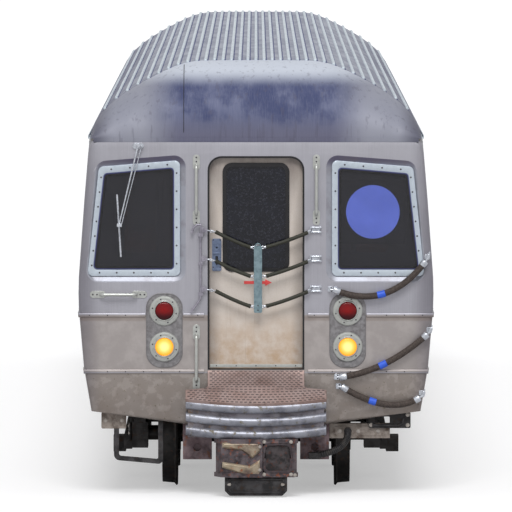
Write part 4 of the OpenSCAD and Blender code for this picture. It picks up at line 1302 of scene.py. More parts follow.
DOOR_Y = FACE + 0.05
ENDS = (("front", None), ("rear", Matrix.Rotation(math.pi, 4, "Z")))


def at_end(spots, turn):
    """Fitting spots drawn at the front, turned to the end that is being built."""
    if turn is None:
        return spots
    spin = turn.to_3x3()
    return [(spin @ Vector(p), spin @ Vector(n)) for p, n in spots]


class CAR_OT_end_doors(bpy.types.Operator):
    """Hinged end doors with pane, gaskets, lock plate, arrow and hinge knuckles"""

    bl_idname = "car.end_doors"
    bl_label = "End Doors"

    def execute(self, context):
        for end, turn in ENDS:
            self.build(end, turn)
        return {"FINISHED"}

    def build(self, end, turn):
        body = f"end_door_{end}"
        y = DOOR_Y

        def done(s, name, finish, **settings):
            if turn is not None:
                bmesh.ops.transform(s.bm, matrix=turn, verts=s.bm.verts[:])
            return s.piece(f"end_door_{name}_{end}", MADE[finish], body, **settings)

        pane = rounded(rect(-0.276, 1.935, 0.276, 2.85), 0.07, 8)
        leaf = Solid()
        leaf.layers([(y, rounded(rect(-0.403, 1.095, 0.405, 2.907), [0.004, 0.004, 0.11, 0.11], 8)),
                     (y + 0.004, rounded(rect(-0.407, 1.091, 0.409, 2.911), [0.004, 0.004, 0.112, 0.112], 8)),
                     (y + 0.04, rounded(rect(-0.407, 1.091, 0.409, 2.911), [0.004, 0.004, 0.112, 0.112], 8))],
                    [pane])
        done(leaf, "leaf", "door_enamel", replaces=[body], slot="door_paint", bevel=0.0015, sharp=30)
        seal = Solid()
        seal.prism(rounded(rect(-0.287, 1.924, 0.287, 2.861), 0.08, 8), y - 0.008, y + 0.004,
                   [rounded(rect(-0.254, 1.957, 0.254, 2.828), 0.05, 8)])
        seal.prism(rounded(rect(-0.274, 1.937, 0.274, 2.848), 0.068, 8), y + 0.002, y + 0.03,
                   [rounded(rect(-0.254, 1.957, 0.254, 2.828), 0.05, 8)])
        done(seal, "seal", "gasket_black", slot="black_rubber", bevel=0.003)
        glass = Solid()
        glass.prism(rounded(rect(-0.268, 1.943, 0.268, 2.842), 0.062, 8), y + 0.012, y + 0.018)
        done(glass, "pane", "glass_speckled", slot="window_glass")

        lock = Solid()
        lock.prism(rounded(rect(-0.377, 1.93, -0.297, 2.209), 0.014, 5), y - 0.005, y + 0.001,
                   [rect(-0.348, 1.992, -0.326, 2.058)])
        lock.prism([(-0.363, 2.132), (-0.337, 2.102), (-0.311, 2.132), (-0.337, 2.162)], y - 0.009,
                   y - 0.004, [circle(-0.337, 2.132, 0.009, 16)])
        lock.prism([(-0.368, 2.082), (-0.306, 2.082), (-0.306, 2.09), (-0.368, 2.09)], y - 0.022, y - 0.004)
        lock.prism(rounded(rect(-0.374, 1.933, -0.3, 1.956), 0.006, 4), y - 0.011, y - 0.004)
        done(lock, "lock", "lock_steel", slot="window_frame", bevel=0.0015)
        pull = Solid()
        pull.box((-0.35, y - 0.001, 1.99), (-0.324, y + 0.001, 2.06))
        pull.tube([(-0.337, y - 0.0, 2.045), (-0.337, y - 0.018, 2.043), (-0.337, y - 0.026, 2.03),
                   (-0.337, y - 0.026, 1.998), (-0.337, y - 0.024, 1.985)], 0.006, 10)
        pull.turned([(0, -0.001), (0.008, -0.001), (0.008, 0.0005), (0, 0.0005)],
                    (-0.337, y - 0.004, 2.132), "y", 16)
        done(pull, "pull", "gasket_black", slot="black_rubber")
        arrow = Solid()
        arrow.prism([(-0.103, 1.818), (0.079, 1.818), (0.079, 1.802), (0.137, 1.831), (0.079, 1.86),
                     (0.079, 1.844), (-0.103, 1.844)], y - 0.0012, y + 0.0004)
        done(arrow, "arrow", "door_arrow", slot="lens")
        lip = Solid()
        lip.prism(rounded(rect(-0.396, 1.102, 0.398, 1.128), 0.004, 3), y - 0.003, y + 0.001)
        done(lip, "kick_strip", "pale_steel", slot="window_frame", bevel=0.001)
        knuckle = Solid()
        for z in (1.283, 1.953, 2.623):
            knuckle.turned([(0.0115, -0.029), (0.0125, -0.027), (0.0125, 0.027), (0.0115, 0.029)],
                           (0.412, FACE + 0.104, z), "z", 24)
            knuckle.box((0.367, FACE + 0.09, z - 0.028), (0.411, FACE + 0.0955, z + 0.028))
        done(knuckle, "knuckles", "pale_steel", slot="window_frame", bevel=0.001)
        spots = [((x, y - 0.005, z), FRONT) for x in (-0.367, -0.307) for z in (1.963, 2.197)]
        spots += [((x, y - 0.003, 1.115), FRONT) for x in (-0.34, -0.17, 0.0, 0.17, 0.34)]
        spots = at_end(spots, turn)
        scatter(f"end_door_screws_{end}", screw_head(0.0055), spots, "screw_dark", body)


class CAR_OT_lamps(bpy.types.Operator):
    """Lamp plates, bezels, lenses and their screws"""

    bl_idname = "car.lamps"
    bl_label = "End Lamps"

    def execute(self, context):
        sizes = context.scene.metro_car_sizes
        plate, rim, bezel = Solid(), Solid(), Solid()
        face = rounded(rect(LAMP_X - LAMP_HALF, 1.102, LAMP_X + LAMP_HALF, 1.745), 0.13, 12)
        inner = rounded(rect(LAMP_X - 0.149, 1.11, LAMP_X + 0.149, 1.737), 0.122, 12)
        plate.prism(inner, FACE - 0.003, FACE - 0.0002)
        rim.layers([(FACE - 0.009, rounded(rect(LAMP_X - 0.154, 1.105, LAMP_X + 0.154, 1.742), 0.127, 12)),
                    (FACE - 0.007, face), (FACE - 0.0002, face)], [inner])
        radius, lens = sizes.bezel_radius, sizes.lens_radius
        for z in LAMP_ZS:
            bezel.turned([(radius, -0.002), (radius, -0.012), (radius - 0.007, -0.019),
                          (radius - 0.016, -0.0215), (lens + 0.014, -0.0215), (lens + 0.008, -0.027),
                          (lens + 0.003, -0.027), (lens + 0.001, -0.019), (lens + 0.001, -0.002)],
                         (LAMP_X, FACE, z), "y", 56)
        for s in (plate, rim, bezel):
            s.both_sides()
            s.both_ends()
        plate.piece("lamp_backs", MADE["lamp_plate"], "carbody", replaces=["lamp_plates"],
                    slot="window_frame")
        rim.piece("lamp_rims", MADE["lamp_plate"], "carbody", 0.002, slot="window_frame")
        bezel.piece("lamp_bezels", MADE["pale_steel"], "carbody", 0.001, sharp=28, slot="handle_steel")
        for name, z, finish in (("lower", LAMP_ZS[0], "lens_amber"), ("upper", LAMP_ZS[1], "lens_red")):
            dome = Solid()
            steps = 10
            dome.turned([(lens + 0.001, -0.004)] + [
                (lens * math.cos(t), -0.017 - 0.018 * math.sin(t))
                for t in (math.pi / 2 * k / steps for k in range(steps))] + [(0, -0.035)],
                (LAMP_X, FACE, z), "y", 48)
            dome.both_sides()
            dome.both_ends()
            obj = dome.piece(f"lamp_lenses_{name}", MADE[finish], "carbody", sharp=60,
                             replaces=["lamp_lenses"], slot="lens")
            rad = obj.data.attributes.new("rad", "FLOAT", "POINT")
            # the low attribute drives the painted shade on the lower part of the red lens
            low = obj.data.attributes.new("low", "FLOAT", "POINT")
            for v in obj.data.vertices:
                dx, dz = abs(v.co.x) - LAMP_X, v.co.z - z
                rad.data[v.index].value = math.hypot(dx, dz) / lens
                low.data[v.index].value = -dz / lens
        spots = [((side * (LAMP_X + (radius - 0.024) * math.sin(t)), FACE - 0.0214,
                   z + (radius - 0.024) * math.cos(t)), FRONT)
                 for side in (1, -1) for z in LAMP_ZS for t in (math.pi / 3 * k + 0.3 for k in range(6))]
        scatter("lamp_screws", screw_head(0.0065), turned_round(spots), "screw_dark", "carbody")
        return {"FINISHED"}


def grab_rail(rods, pads, a, b, reach=0.05):
    """Round rail between two oblong pads on the end sheet."""
    a, b = Vector((a[0], FACE, a[1])), Vector((b[0], FACE, b[1]))
    run = (b - a).normalized()
    out = Vector((0, -reach, 0))
    r = 0.03
    a, b = a - run * -0.034, b + run * -0.034
    path = [a]
    for foot, way, turns in ((a, 1, range(7)), (b, -1, range(6, -1, -1))):
        for k in turns:
            t = math.pi / 2 * k / 6
            path.append(foot + out * (1 - r / reach) + Vector((0, -r * math.sin(t), 0))
                        + run * (way * r * (1 - math.cos(t))))
    path.append(b)
    rods.tube(path, 0.0145, 14)
    spots = []
    for p, way in ((a, -1), (b, 1)):
        mid = p + run * (way * 0.026)
        side = Vector((run.z, 0, -run.x))
        long, wide = 0.068, 0.0305
        outline = rounded([(mid.x + run.x * u + side.x * v, mid.z + run.z * u + side.z * v)
                           for u, v in ((-long, -wide), (long, -wide), (long, wide), (-long, wide))],
                          0.03, 7)
        pads.prism(outline, FACE - 0.007, FACE - 0.0002)
        spots += [((mid.x + run.x * u * way, FACE - 0.0068, mid.z + run.z * u * way), FRONT)
                  for u in (0.008, 0.044)]
    return spots


class CAR_OT_handles(bpy.types.Operator):
    """Grab rails on the end sheets"""

    bl_idname = "car.handles"
    bl_label = "Grab Rails"

    def execute(self, context):
        rods, pads, spots = Solid(), Solid(), []
        for a, b in (((-0.512, 2.385), (-0.512, 2.873)), ((0.518, 2.385), (0.518, 2.873)),
                     ((-0.512, 0.95), (-0.512, 1.414)), ((-1.365, 1.731), (-0.994, 1.731))):
            spots += grab_rail(rods, pads, a, b)
        rods.both_ends()
        pads.both_ends()
        rods.piece("grab_rails", MADE["pale_steel"], "carbody", sharp=50, replaces=["grab_handles"],
                   slot="handle_steel")
        pads.piece("grab_pads", MADE["pale_steel"], "carbody", 0.002, slot="handle_steel")
        scatter("grab_screws", screw_head(0.007), turned_round(spots), "screw_dark", "carbody")
        return {"FINISHED"}


def chain_link(s, centre, run, length, wire, flat):
    """One oval link; run is its long direction and flat the normal of its plane."""
    c, run, flat = Vector(centre), Vector(run).normalized(), Vector(flat).normalized()
    side = flat.cross(run)
    half, r = length / 2 - wire * 2, wire * 1.7
    pts = []
    for sign in (1, -1):
        for k in range(7):
            t = math.pi * k / 6
            pts.append(c + run * (sign * (half + r * math.sin(t))) + side * (sign * r * math.cos(t)))
    s.tube(pts, wire, 8, closed=True)


class CAR_OT_gate(bpy.types.Operator):
    """Safety gate between cars: release rod, tabs, links, centre strap and hook plates"""

    bl_idname = "car.gate"
    bl_label = "Chain Gate Fittings"

    def execute(self, context):
        y = CHAIN_Y
        rod = Solid()
        rod.tube([(-0.545, y, 2.282), (-0.532, y, 2.312), (-0.505, y, 2.332), (CHAIN_LEFT, y, 2.334),
                  (CHAIN_LEFT + 0.003, y, 2.31), (CHAIN_LEFT, y, 2.2), (CHAIN_LEFT, y, 1.76),
                  (CHAIN_LEFT - 0.003, y, 1.7), (CHAIN_LEFT - 0.02, y, 1.668), (-0.545, y, 1.6)], 0.0095, 14)
        rod.prism([(-0.568, 1.56), (-0.535, 1.606), (-0.553, 1.618)], y - 0.004, y + 0.004)
        rod.tube([(-0.55, FACE, 2.268), (-0.55, y - 0.012, 2.268)], 0.011, 14)
        for z in CHAIN_ZS:
            rod.prism(rounded([(CHAIN_LEFT - 0.02, z - 0.058), (CHAIN_LEFT + 0.02, z - 0.058),
                               (CHAIN_LEFT + 0.02, z - 0.028), (CHAIN_LEFT - 0.02, z - 0.028)], 0.006, 3),
                      y - 0.006, FACE)
            rod.prism(rounded([(CHAIN_LEFT + 0.004, z - 0.03), (CHAIN_LEFT + 0.075, z - 0.002),
                               (CHAIN_LEFT + 0.004, z + 0.034)], 0.008, 4), y - 0.004, y + 0.004)
        rod.both_ends()
        rod.piece("gate_release_rods", MADE["rod_steel"], "carbody", 0.0015, replaces=["gate_fittings"],
                  slot="handle_steel")

        links, strap, hooks, collars = Solid(), Solid(), Solid(), Solid()
        strap.prism(rounded(rect(STRAP_X - 0.035, 1.577, STRAP_X + 0.035, 2.15), 0.012, 4),
                    y - 0.027, y - 0.021)
        strap.tube([(STRAP_X + 0.022 * math.cos(t), y - 0.024, 2.152 + 0.022 * math.sin(t))
                    for t in (2 * math.pi * k / 16 for k in range(16))], 0.005, 8, closed=True)
        for i, z in enumerate(CHAIN_ZS):
            low = z - CHAIN_SAG
            ring = [(STRAP_X + 0.026 * math.cos(t), y - 0.002, low + 0.004 + 0.026 * math.sin(t))
                    for t in (2 * math.pi * k / 20 for k in range(20))]
            links.tube(ring, 0.006, 8, closed=True)
            strap.tube([(STRAP_X, y - 0.028, low + 0.004), (STRAP_X, y - 0.002, low + 0.004)], 0.009, 10)
            left, mid_l, in_l = chain_runs()[2 * i]
            right, mid_r, in_r = chain_runs()[2 * i + 1]
            for inner, mid in ((in_l, mid_l), (in_r, mid_r)):
                p, q = Vector(inner), Vector((STRAP_X, y, low + 0.004))
                way = (Vector(mid) - p).normalized()
                collars.tube([p - way * 0.004, p - way * 0.002, p + way * 0.018, p + way * 0.02],
                             lambda t: 0.018 if 0.1 < t < 0.9 else 0.016, 14)
                links.tube([p - way * 0.002, p.lerp(q, 0.3)], 0.0115, 12)
                chain_link(links, p.lerp(q, 0.55), q - p, 0.046, 0.0055, (0, 1, 0.1))
            for end, mid, anchor in ((left, mid_l, (CHAIN_LEFT + 0.058, y, z - 0.004)),
                                     (right, mid_r, (CHAIN_RIGHT - 0.05, y, z - 0.006))):
                a, b = Vector(anchor), Vector(end)
                count = max(2, round((b - a).length / 0.023))
                for k in range(count):
                    p = a.lerp(b, (k + 0.5) / count)
                    flat = (0, 1, 0) if k % 2 else (0, 0.2, 1)
                    chain_link(links, p, b - a, 0.036, 0.0042, flat)
                way = (Vector(mid) - b).normalized()
                collars.tube([b - way * 0.006, b - way * 0.004, b + way * 0.02, b + way * 0.024],
                             lambda t: 0.0175 if 0.1 < t < 0.9 else 0.0155, 14)
            hooks.prism(rounded(rect(CHAIN_RIGHT - 0.034, z - 0.026, CHAIN_RIGHT + 0.034, z + 0.026),
                                0.008, 4), FACE - 0.008, FACE - 0.0002)
            for dz in (-0.02, 0.02):
                hooks.tube([(CHAIN_RIGHT - 0.042, FACE - 0.014, z + dz),
                            (CHAIN_RIGHT + 0.04, FACE - 0.014, z + dz)], 0.0075, 12)
                for x in (-0.042, 0.04):
                    hooks.turned([(0.0, -0.012), (0.009, -0.01), (0.011, 0.0), (0.011, 0.012)],
                                 (CHAIN_RIGHT + x, FACE - 0.012, z + dz), "y", 14)
            hooks.tube([(CHAIN_RIGHT - 0.04, FACE - 0.014, z + 0.018),
                        (CHAIN_RIGHT - 0.052, y + 0.01, z + 0.008),
                        (CHAIN_RIGHT - 0.054, y, z - 0.004), (CHAIN_RIGHT - 0.05, y + 0.008, z - 0.014),
                        (CHAIN_RIGHT - 0.038, FACE - 0.014, z - 0.02)], 0.0055, 10)
        for s in (links, strap, hooks, collars):
            s.both_ends()
        links.piece("gate_links", MADE["link_silver"], "carbody", sharp=60, slot="handle_steel")
        strap.piece("gate_straps", MADE["strap_steel"], "carbody", 0.0015, slot="handle_steel")
        hooks.piece("gate_hooks", MADE["link_silver"], "carbody", 0.0015, slot="handle_steel")
        collars.piece("gate_collars", MADE["sleeve_olive"], "carbody", slot="chain_sleeve")
        spots = [((STRAP_X, y - 0.0268, z), FRONT) for z in (1.6, 1.64)]
        scatter("gate_screws", screw_head(0.006), turned_round(spots), "screw_dark", "carbody")
        return {"FINISHED"}


# Part of each corner cable that its band covers, as shares of the length
BAND_SPANS = ((0.44, 0.51), (0.44, 0.51), (0.3, 0.38))


class CAR_OT_cable_fittings(bpy.types.Operator):
    """Plates, bands, ferrules and hooks of the corner cables"""

    bl_idname = "car.cable_fittings"
    bl_label = "Corner Cable Fittings"

    def execute(self, context):
        radius = context.scene.metro_car_sizes.cable_radius
        plates, bands, hooks, spots = Solid(), Solid(), Solid(), []
        for i, route in enumerate(CABLES):
            path = cable_path(route, 60)
            a, b = path[0], path[-1]
            way = (path[1] - a).normalized()
            back = (path[-1] - path[-2]).normalized()
            plates.prism(rounded(rect(a.x - 0.05, a.z - 0.025, a.x - 0.002, a.z + 0.025), 0.01, 4),
                         FACE - 0.009, FACE - 0.0002)
            plates.box((a.x - 0.04, CABLE_Y - 0.012, a.z - 0.014), (a.x - 0.026, FACE - 0.008, a.z + 0.014))
            plates.tube([Vector((a.x - 0.034, CABLE_Y, a.z)), a + way * 0.01], 0.009, 12)
            plates.tube([a - way * 0.002, a + way * 0.002, a + way * 0.055, a + way * 0.06],
                        lambda t: radius + (0.0035 if 0.02 < t < 0.95 else 0.001), 18)
            spots += [((a.x - 0.018, FACE - 0.0088, a.z + dz), FRONT) for dz in (-0.016, 0.016)]
            lo, hi = BAND_SPANS[i]
            bands.tube(path[round(lo * 60): round(hi * 60) + 1], radius + 0.0032, 20)
            hooks.tube([b - back * 0.05, b - back * 0.046, b - back * 0.004, b], lambda t: radius + (
                0.003 if 0.05 < t < 0.95 else 0.001), 18)
            tip = b + back * 0.034
            hooks.tube([b - back * 0.002, tip], 0.0085, 12)
            up = Vector((0.3, 0, 1)).normalized()
            hooks.tube([tip + Vector((0, 0, -0.012)), tip, tip + up * 0.03,
                        tip + up * 0.05 + Vector((0, 0.02, 0)),
                        tip + up * 0.044 + Vector((0, 0.046, 0))], 0.0075, 12)
            chain_link(hooks, tip + up * 0.01, up, 0.05, 0.0055, (0, 1, 0))
            hooks.prism(rounded(rect(b.x - 0.006, b.z + 0.012, b.x + 0.04, b.z + 0.058), 0.01, 4),
                        FACE - 0.007, FACE + 0.012)
        for s in (plates, bands, hooks):
            s.both_ends()
        plates.piece("cable_plates", MADE["link_silver"], "carbody", 0.0015, replaces=["cable_hooks"],
                     slot="handle_steel")
        bands.piece("cable_bands", MADE["cable_band"], "carbody", slot="cable_sleeve")
        hooks.piece("cable_end_hooks", MADE["link_silver"], "carbody", 0.0012, slot="handle_steel")
        scatter("cable_plate_screws", screw_head(0.006), turned_round(spots), "screw_dark", "carbody")
        return {"FINISHED"}


class CAR_OT_wipers(bpy.types.Operator):
    """Window wipers: pivot plate, twin arms and blade"""

    bl_idname = "car.wipers"
    bl_label = "Wipers"

    def execute(self, context):
        arm, blade = Solid(), Solid()
        top, foot = Vector((-1.012, FACE - 0.03, 3.008)), Vector((-1.175, FACE - 0.036, 2.328))
        arm.prism(rounded(rect(top.x - 0.05, top.z - 0.026, top.x + 0.05, top.z + 0.026), 0.025, 8),
                  FACE - 0.01, FACE - 0.0002)
        arm.turned([(0.015, -0.026), (0.018, -0.022), (0.018, 0.02)], (top.x, top.y + 0.012, top.z), "y", 20)
        arm.turned([(0.009, -0.02), (0.011, -0.016), (0.011, 0.02)], (top.x + 0.032, top.y + 0.012, top.z),
                   "y", 16)
        arm.tube([top, top.lerp(foot, 0.12) + Vector((0, -0.004, 0)), foot], lambda t: 0.0085 - 0.0025 * t, 12)
        side = Vector((0.028, 0.004, 0.0))
        arm.tube([top + side * 1.15, foot + side * 0.7], 0.0045, 10)
        arm.box((foot.x - 0.018, foot.y - 0.006, foot.z - 0.014),
                (foot.x + 0.024, foot.y + 0.006, foot.z + 0.014))
        a, b = Vector((-1.192, FACE - 0.022, 2.591)), Vector((-1.159, FACE - 0.022, 2.055))
        arm.tube([foot, foot.lerp(a.lerp(b, 0.5), 0.7)], 0.006, 10)
        arm.tube([a.lerp(b, 0.2) + Vector((0, -0.003, 0)), a.lerp(b, 0.5) + Vector((0, -0.012, 0)),
                  a.lerp(b, 0.8) + Vector((0, -0.003, 0))], 0.0045, 8)
        run = (b - a).normalized()
        wide = Vector((-run.z, 0, run.x))
        for s, w, y0, y1 in ((arm, 0.0075, FACE - 0.026, FACE - 0.014),
                             (blade, 0.004, FACE - 0.014, FACE - 0.002)):
            s.prism([(p.x + wide.x * w * k, p.z + wide.z * w * k)
                     for p, k in ((a, 1), (b, 1), (b, -1), (a, -1))], y0, y1)
        for s in (arm, blade):
            s.both_ends()
        arm.piece("wiper_arms", MADE["link_silver"], "carbody", 0.0012, replaces=["wipers"],
                  slot="handle_steel")
        blade.piece("wiper_blades", MADE["gasket_black"], "carbody", slot="black_rubber")
        return {"FINISHED"}


def climber_line(front, half, reach):
    """Curved front edge of a climber rib, seen from above, from left to right."""
    pts = []
    for k in range(-10, 11):
        t = k / 10
        pts.append((half * t, front + reach * abs(t) ** 2.2))
    return pts


class CAR_OT_anticlimber(bpy.types.Operator):
    """Anticlimber ribs, tread plate, buffer beam and draft anchor"""

    bl_idname = "car.anticlimber"
    bl_label = "Anticlimbers"

    def execute(self, context):
        front = FACE - 0.24
        ribs, core, tread = Solid(), Solid(), Solid()
        for i in range(3):
            top = 0.842 - i * 0.113
            rings = []
            for k in range(25):
                u = k / 12 - 1
                y = front + 0.062 * abs(u) ** 2.2
                z = top - 0.04 * (1 - u * u)
                round_ = [(y + 0.034 - 0.034 * math.sin(t), z - 0.042 - 0.04 * math.cos(t))
                          for t in (math.pi * j / 8 for j in range(9))]
                rings.append([((CLIMBER_HALF - 0.004) * u, py, pz) for py, pz in
                              [(FACE, z - 0.09)] + round_ + [(FACE, z)]])
            ribs.loft(rings)
        inner = climber_line(front + 0.034, CLIMBER_HALF - 0.022, 0.05)
        core.prism(inner + [(CLIMBER_HALF - 0.022, FACE), (-CLIMBER_HALF + 0.022, FACE)], 0.514, 0.8,
                   axis="z")
        rings = []
        steps = 16
        for k in range(steps + 1):
            t = k / steps
            half = 0.415 if t < 0.62 else 0.605 if t > 0.68 else 0.44
            y = FACE - 0.003 - 0.172 * t ** 1.15
            z = FLOOR_Z - 0.004 - 0.232 * t
            bow = 0.055 * t
            rings.append([(half * u, y - bow * (1 - u * u), z - 0.038 * (1 - u * u) * max(0.0, t - 0.55) / 0.45)
                          for u in (j / 8 - 1 for j in range(17))])
        full = []
        for ring in rings:
            full.append(ring + [(x, y + 0.006, z - 0.018) for x, y, z in reversed(ring)])
        tread.loft(full)
        tread.loft([[(x, y - 0.001, z + dz) for x, y, z in rings[-1]]
                    + [(x, y + 0.014, z + dz) for x, y, z in reversed(rings[-1])] for dz in (0.001, -0.026)])
        beam = Solid()
        beam.box((-1.25, FACE + WALL, 0.71), (1.25, FACE + WALL + 0.13, 0.945))
        y = PIN_Y
        for side in (1, -1):
            a, b = sorted((side * 0.16, side * 0.18))
            beam.box((a, y - 0.15, 0.24), (b, y + 0.15, 0.945))
        beam.box((-0.18, y - 0.15, 0.41), (0.18, y + 0.15, 0.945))
        beam.box((-0.18, y - 0.15, 0.24), (0.18, y + 0.15, 0.27))
        beam.turned([(0.03, -0.09), (0.03, 0.09)], (0, y, 0.34), "z", 28)
        for s in (ribs, core, tread, beam):
            s.both_ends()
        ribs.piece("climber_ribs", MADE["climber_steel"], "carbody", 0.005, 3,
                   replaces=["anticlimber_front", "anticlimber_rear"], slot="frame_paint")
        # the core's darker finish is painted shade for the grooves between the ribs
        core.piece("climber_cores", MADE["climber_face"], "carbody", 0.003, slot="frame_paint")
        tread.piece("tread_plates", MADE["tread_copper"], "carbody", 0.002, slot="frame_paint")
        beam.piece("buffer_beams", MADE["black_iron"], "carbody", 0.006, slot="frame_paint")
        dash = Solid()
        length = context.scene.metro_car_sizes.dash_length
        dash.layers([(-0.0006, rounded(rect(-length / 2, -0.0055, length / 2, 0.0055), 0.005, 2)),
                     (0.0022, rounded(rect(-length / 2 + 0.002, -0.0035, length / 2 - 0.002, 0.0035),
                                      0.003, 2))],
                    axis="z")
        spots = []
        grid = [[Vector(p) for p in ring] for ring in rings]
        rows = 15
        for j in range(rows):
            f = (j + 0.5) / rows * steps
            k, t = int(f), f - int(f)
            row = [a.lerp(b, t) for a, b in zip(grid[k], grid[k + 1])]
            half = row[-1].x
            count = int(2 * half / 0.04)
            for i in range(count):
                x = -half + 0.02 + (2 * half - 0.04) * (i + (0.25 if j % 2 else 0.75)) / count
                u = (x / half + 1) * 8
                m, w = min(int(u), 15), u - min(int(u), 15)
                p = row[m].lerp(row[m + 1], w)
                down = (grid[k + 1][m] - grid[k][m]).normalized()
                spots.append((p, Vector((1, 0, 0)).cross(down).normalized()))
        spots = [(p, n if n.z > 0 or n.y < 0 else -n) for p, n in spots]
        scatter("tread_dashes", dash, turned_round(spots), "tread_dash", "carbody")
        return {"FINISHED"}


class CAR_OT_couplers(bpy.types.Operator):
    """Coupler heads with face pockets, guide horn, bolts, shank and contact box"""

    bl_idname = "car.couplers"
    bl_label = "Couplers"

    def execute(self, context):
        for end, turn in ENDS:
            self.build(end, turn)
        return {"FINISHED"}

    def build(self, end, turn):
        body = f"coupler_{end}"
        front, back = FACE - 0.266, FACE + 0.01

        def done(s, name, finish, **settings):
            if turn is not None:
                bmesh.ops.transform(s.bm, matrix=turn, verts=s.bm.verts[:])
            return s.piece(f"coupler_{name}_{end}", MADE[finish], body, slot="coupler_iron", **settings)

        head = Solid()
        plan = [(-0.36, front + 0.15), (-0.3, front + 0.034), (-0.21, front + 0.004), (0.05, front + 0.004),
                (0.05, front + 0.034), (0.32, front + 0.034), (0.36, front + 0.09), (0.3, back), (-0.27, back)]
        inner = [(-0.345, front + 0.155), (-0.29, front + 0.05), (-0.205, front + 0.02), (0.056, front + 0.02),
                 (0.06, front + 0.13), (0.3, front + 0.13), (0.345, front + 0.1), (0.29, back), (-0.262, back)]
        head.layers([(0.212, inner), (0.468, inner)], axis="z")
        for z0, z1 in ((0.176, 0.214), (0.466, 0.504)):
            head.layers([(z0, plan), (z1, plan)], axis="z")
        head.prism([(-0.3, 0.2), (0.03, 0.2), (0.03, 0.48), (-0.3, 0.48)], front + 0.03, front + 0.07)
        head.prism(rounded([(-0.24, 0.316), (-0.13, 0.296), (-0.13, 0.372), (-0.24, 0.352)], 0.006, 3),
                   front + 0.016, front + 0.036, [rounded(rect(-0.176, 0.312, -0.14, 0.36), 0.004, 2)])
        head.prism(rounded(rect(0.3, 0.19, 0.35, 0.49), 0.015, 4), front + 0.06, front + 0.12)
        done(head, "head", "coupler_iron", replaces=[body], bevel=0.008, segments=3, sharp=30)

        wedge = Solid()
        upper = [(-0.29, 0.432), (-0.12, 0.405), (-0.03, 0.34), (0.034, 0.4), (0.034, 0.476), (-0.29, 0.476)]
        lower = [(-0.29, 0.262), (-0.1, 0.196), (0.034, 0.196), (0.034, 0.33), (-0.05, 0.275), (-0.29, 0.31)]
        for shape in (upper, lower):
            wedge.layers([(front + 0.001, offset(shape, -0.014)), (front + 0.016, shape),
                          (front + 0.05, shape)])
        done(wedge, "wedge", "coupler_worn", bevel=0.004, segments=3)

        pocket = Solid()
        steps = 10
        rings = []
        for k in range(steps + 1):
            t = math.pi / 2 * k / steps
            shrink = 0.06 * (1 - math.cos(t))
            rings.append((front + 0.05 + 0.075 * math.sin(t),
                          rounded(offset(rect(0.078, 0.228, 0.292, 0.452), -shrink), 0.036, 5)))
        pocket.layers(rings + [(front + 0.13, rings[-1][1])])
        done(pocket, "pocket", "coupler_dark", bevel=0.002)
        rim = Solid()
        rim.prism(rounded(rect(0.06, 0.21, 0.31, 0.47), 0.045, 6), front + 0.034, front + 0.06,
                  [rounded(rect(0.082, 0.232, 0.288, 0.448), 0.034, 6)])
        done(rim, "rim", "coupler_iron", bevel=0.004, segments=3)

        shank = Solid()
        shank.box((-0.06, back - 0.04, 0.28), (0.06, PIN_Y - 0.065, 0.4))
        eye, hole = ([(r * math.cos(t), PIN_Y + r * math.sin(t))
                      for t in (2 * math.pi * k / n for k in range(n))] for r, n in ((0.08, 32), (0.0305, 24)))
        shank.prism(eye, 0.28, 0.4, [hole], axis="z")
        shank.turned([(0.085, back - 0.02), (0.085, back + 0.03), (0.07, back + 0.06)], (0, 0, 0.34), "y", 28)
        done(shank, "shank", "black_iron", bevel=0.005)

        box = Solid()
        box.prism([(-0.225, 0.014), (0.225, 0.014), (0.268, 0.056), (0.268, 0.174), (-0.268, 0.174),
                   (-0.268, 0.056)], front + 0.062, back - 0.032)
        box.prism([(-0.21, 0.034), (0.21, 0.034), (0.245, 0.07), (0.245, 0.162), (-0.245, 0.162),
                   (-0.245, 0.07)],
                  front + 0.05, front + 0.066,
                  [[(-0.198, 0.052), (0.198, 0.052), (0.222, 0.078), (0.222, 0.146), (-0.222, 0.146),
                    (-0.222, 0.078)]])
        done(box, "contact_box", "black_iron", bevel=0.006, segments=3)
        spots = [((0.335, front + 0.033, 0.195), FRONT)]
        spots += [((0.03, front + 0.0124, z), FRONT) for z in (0.24, 0.44)]
        spots += [((x, front + 0.0535, 0.112), FRONT) for x in (-0.23, 0.23)]
        spots += [((x, front + 0.0345, z), FRONT) for x in (0.07, 0.3) for z in (0.2, 0.48)]
        spots = at_end(spots, turn)
        scatter(f"coupler_bolts_{end}", bolt_head(0.012), spots, "bolt_pale", body)


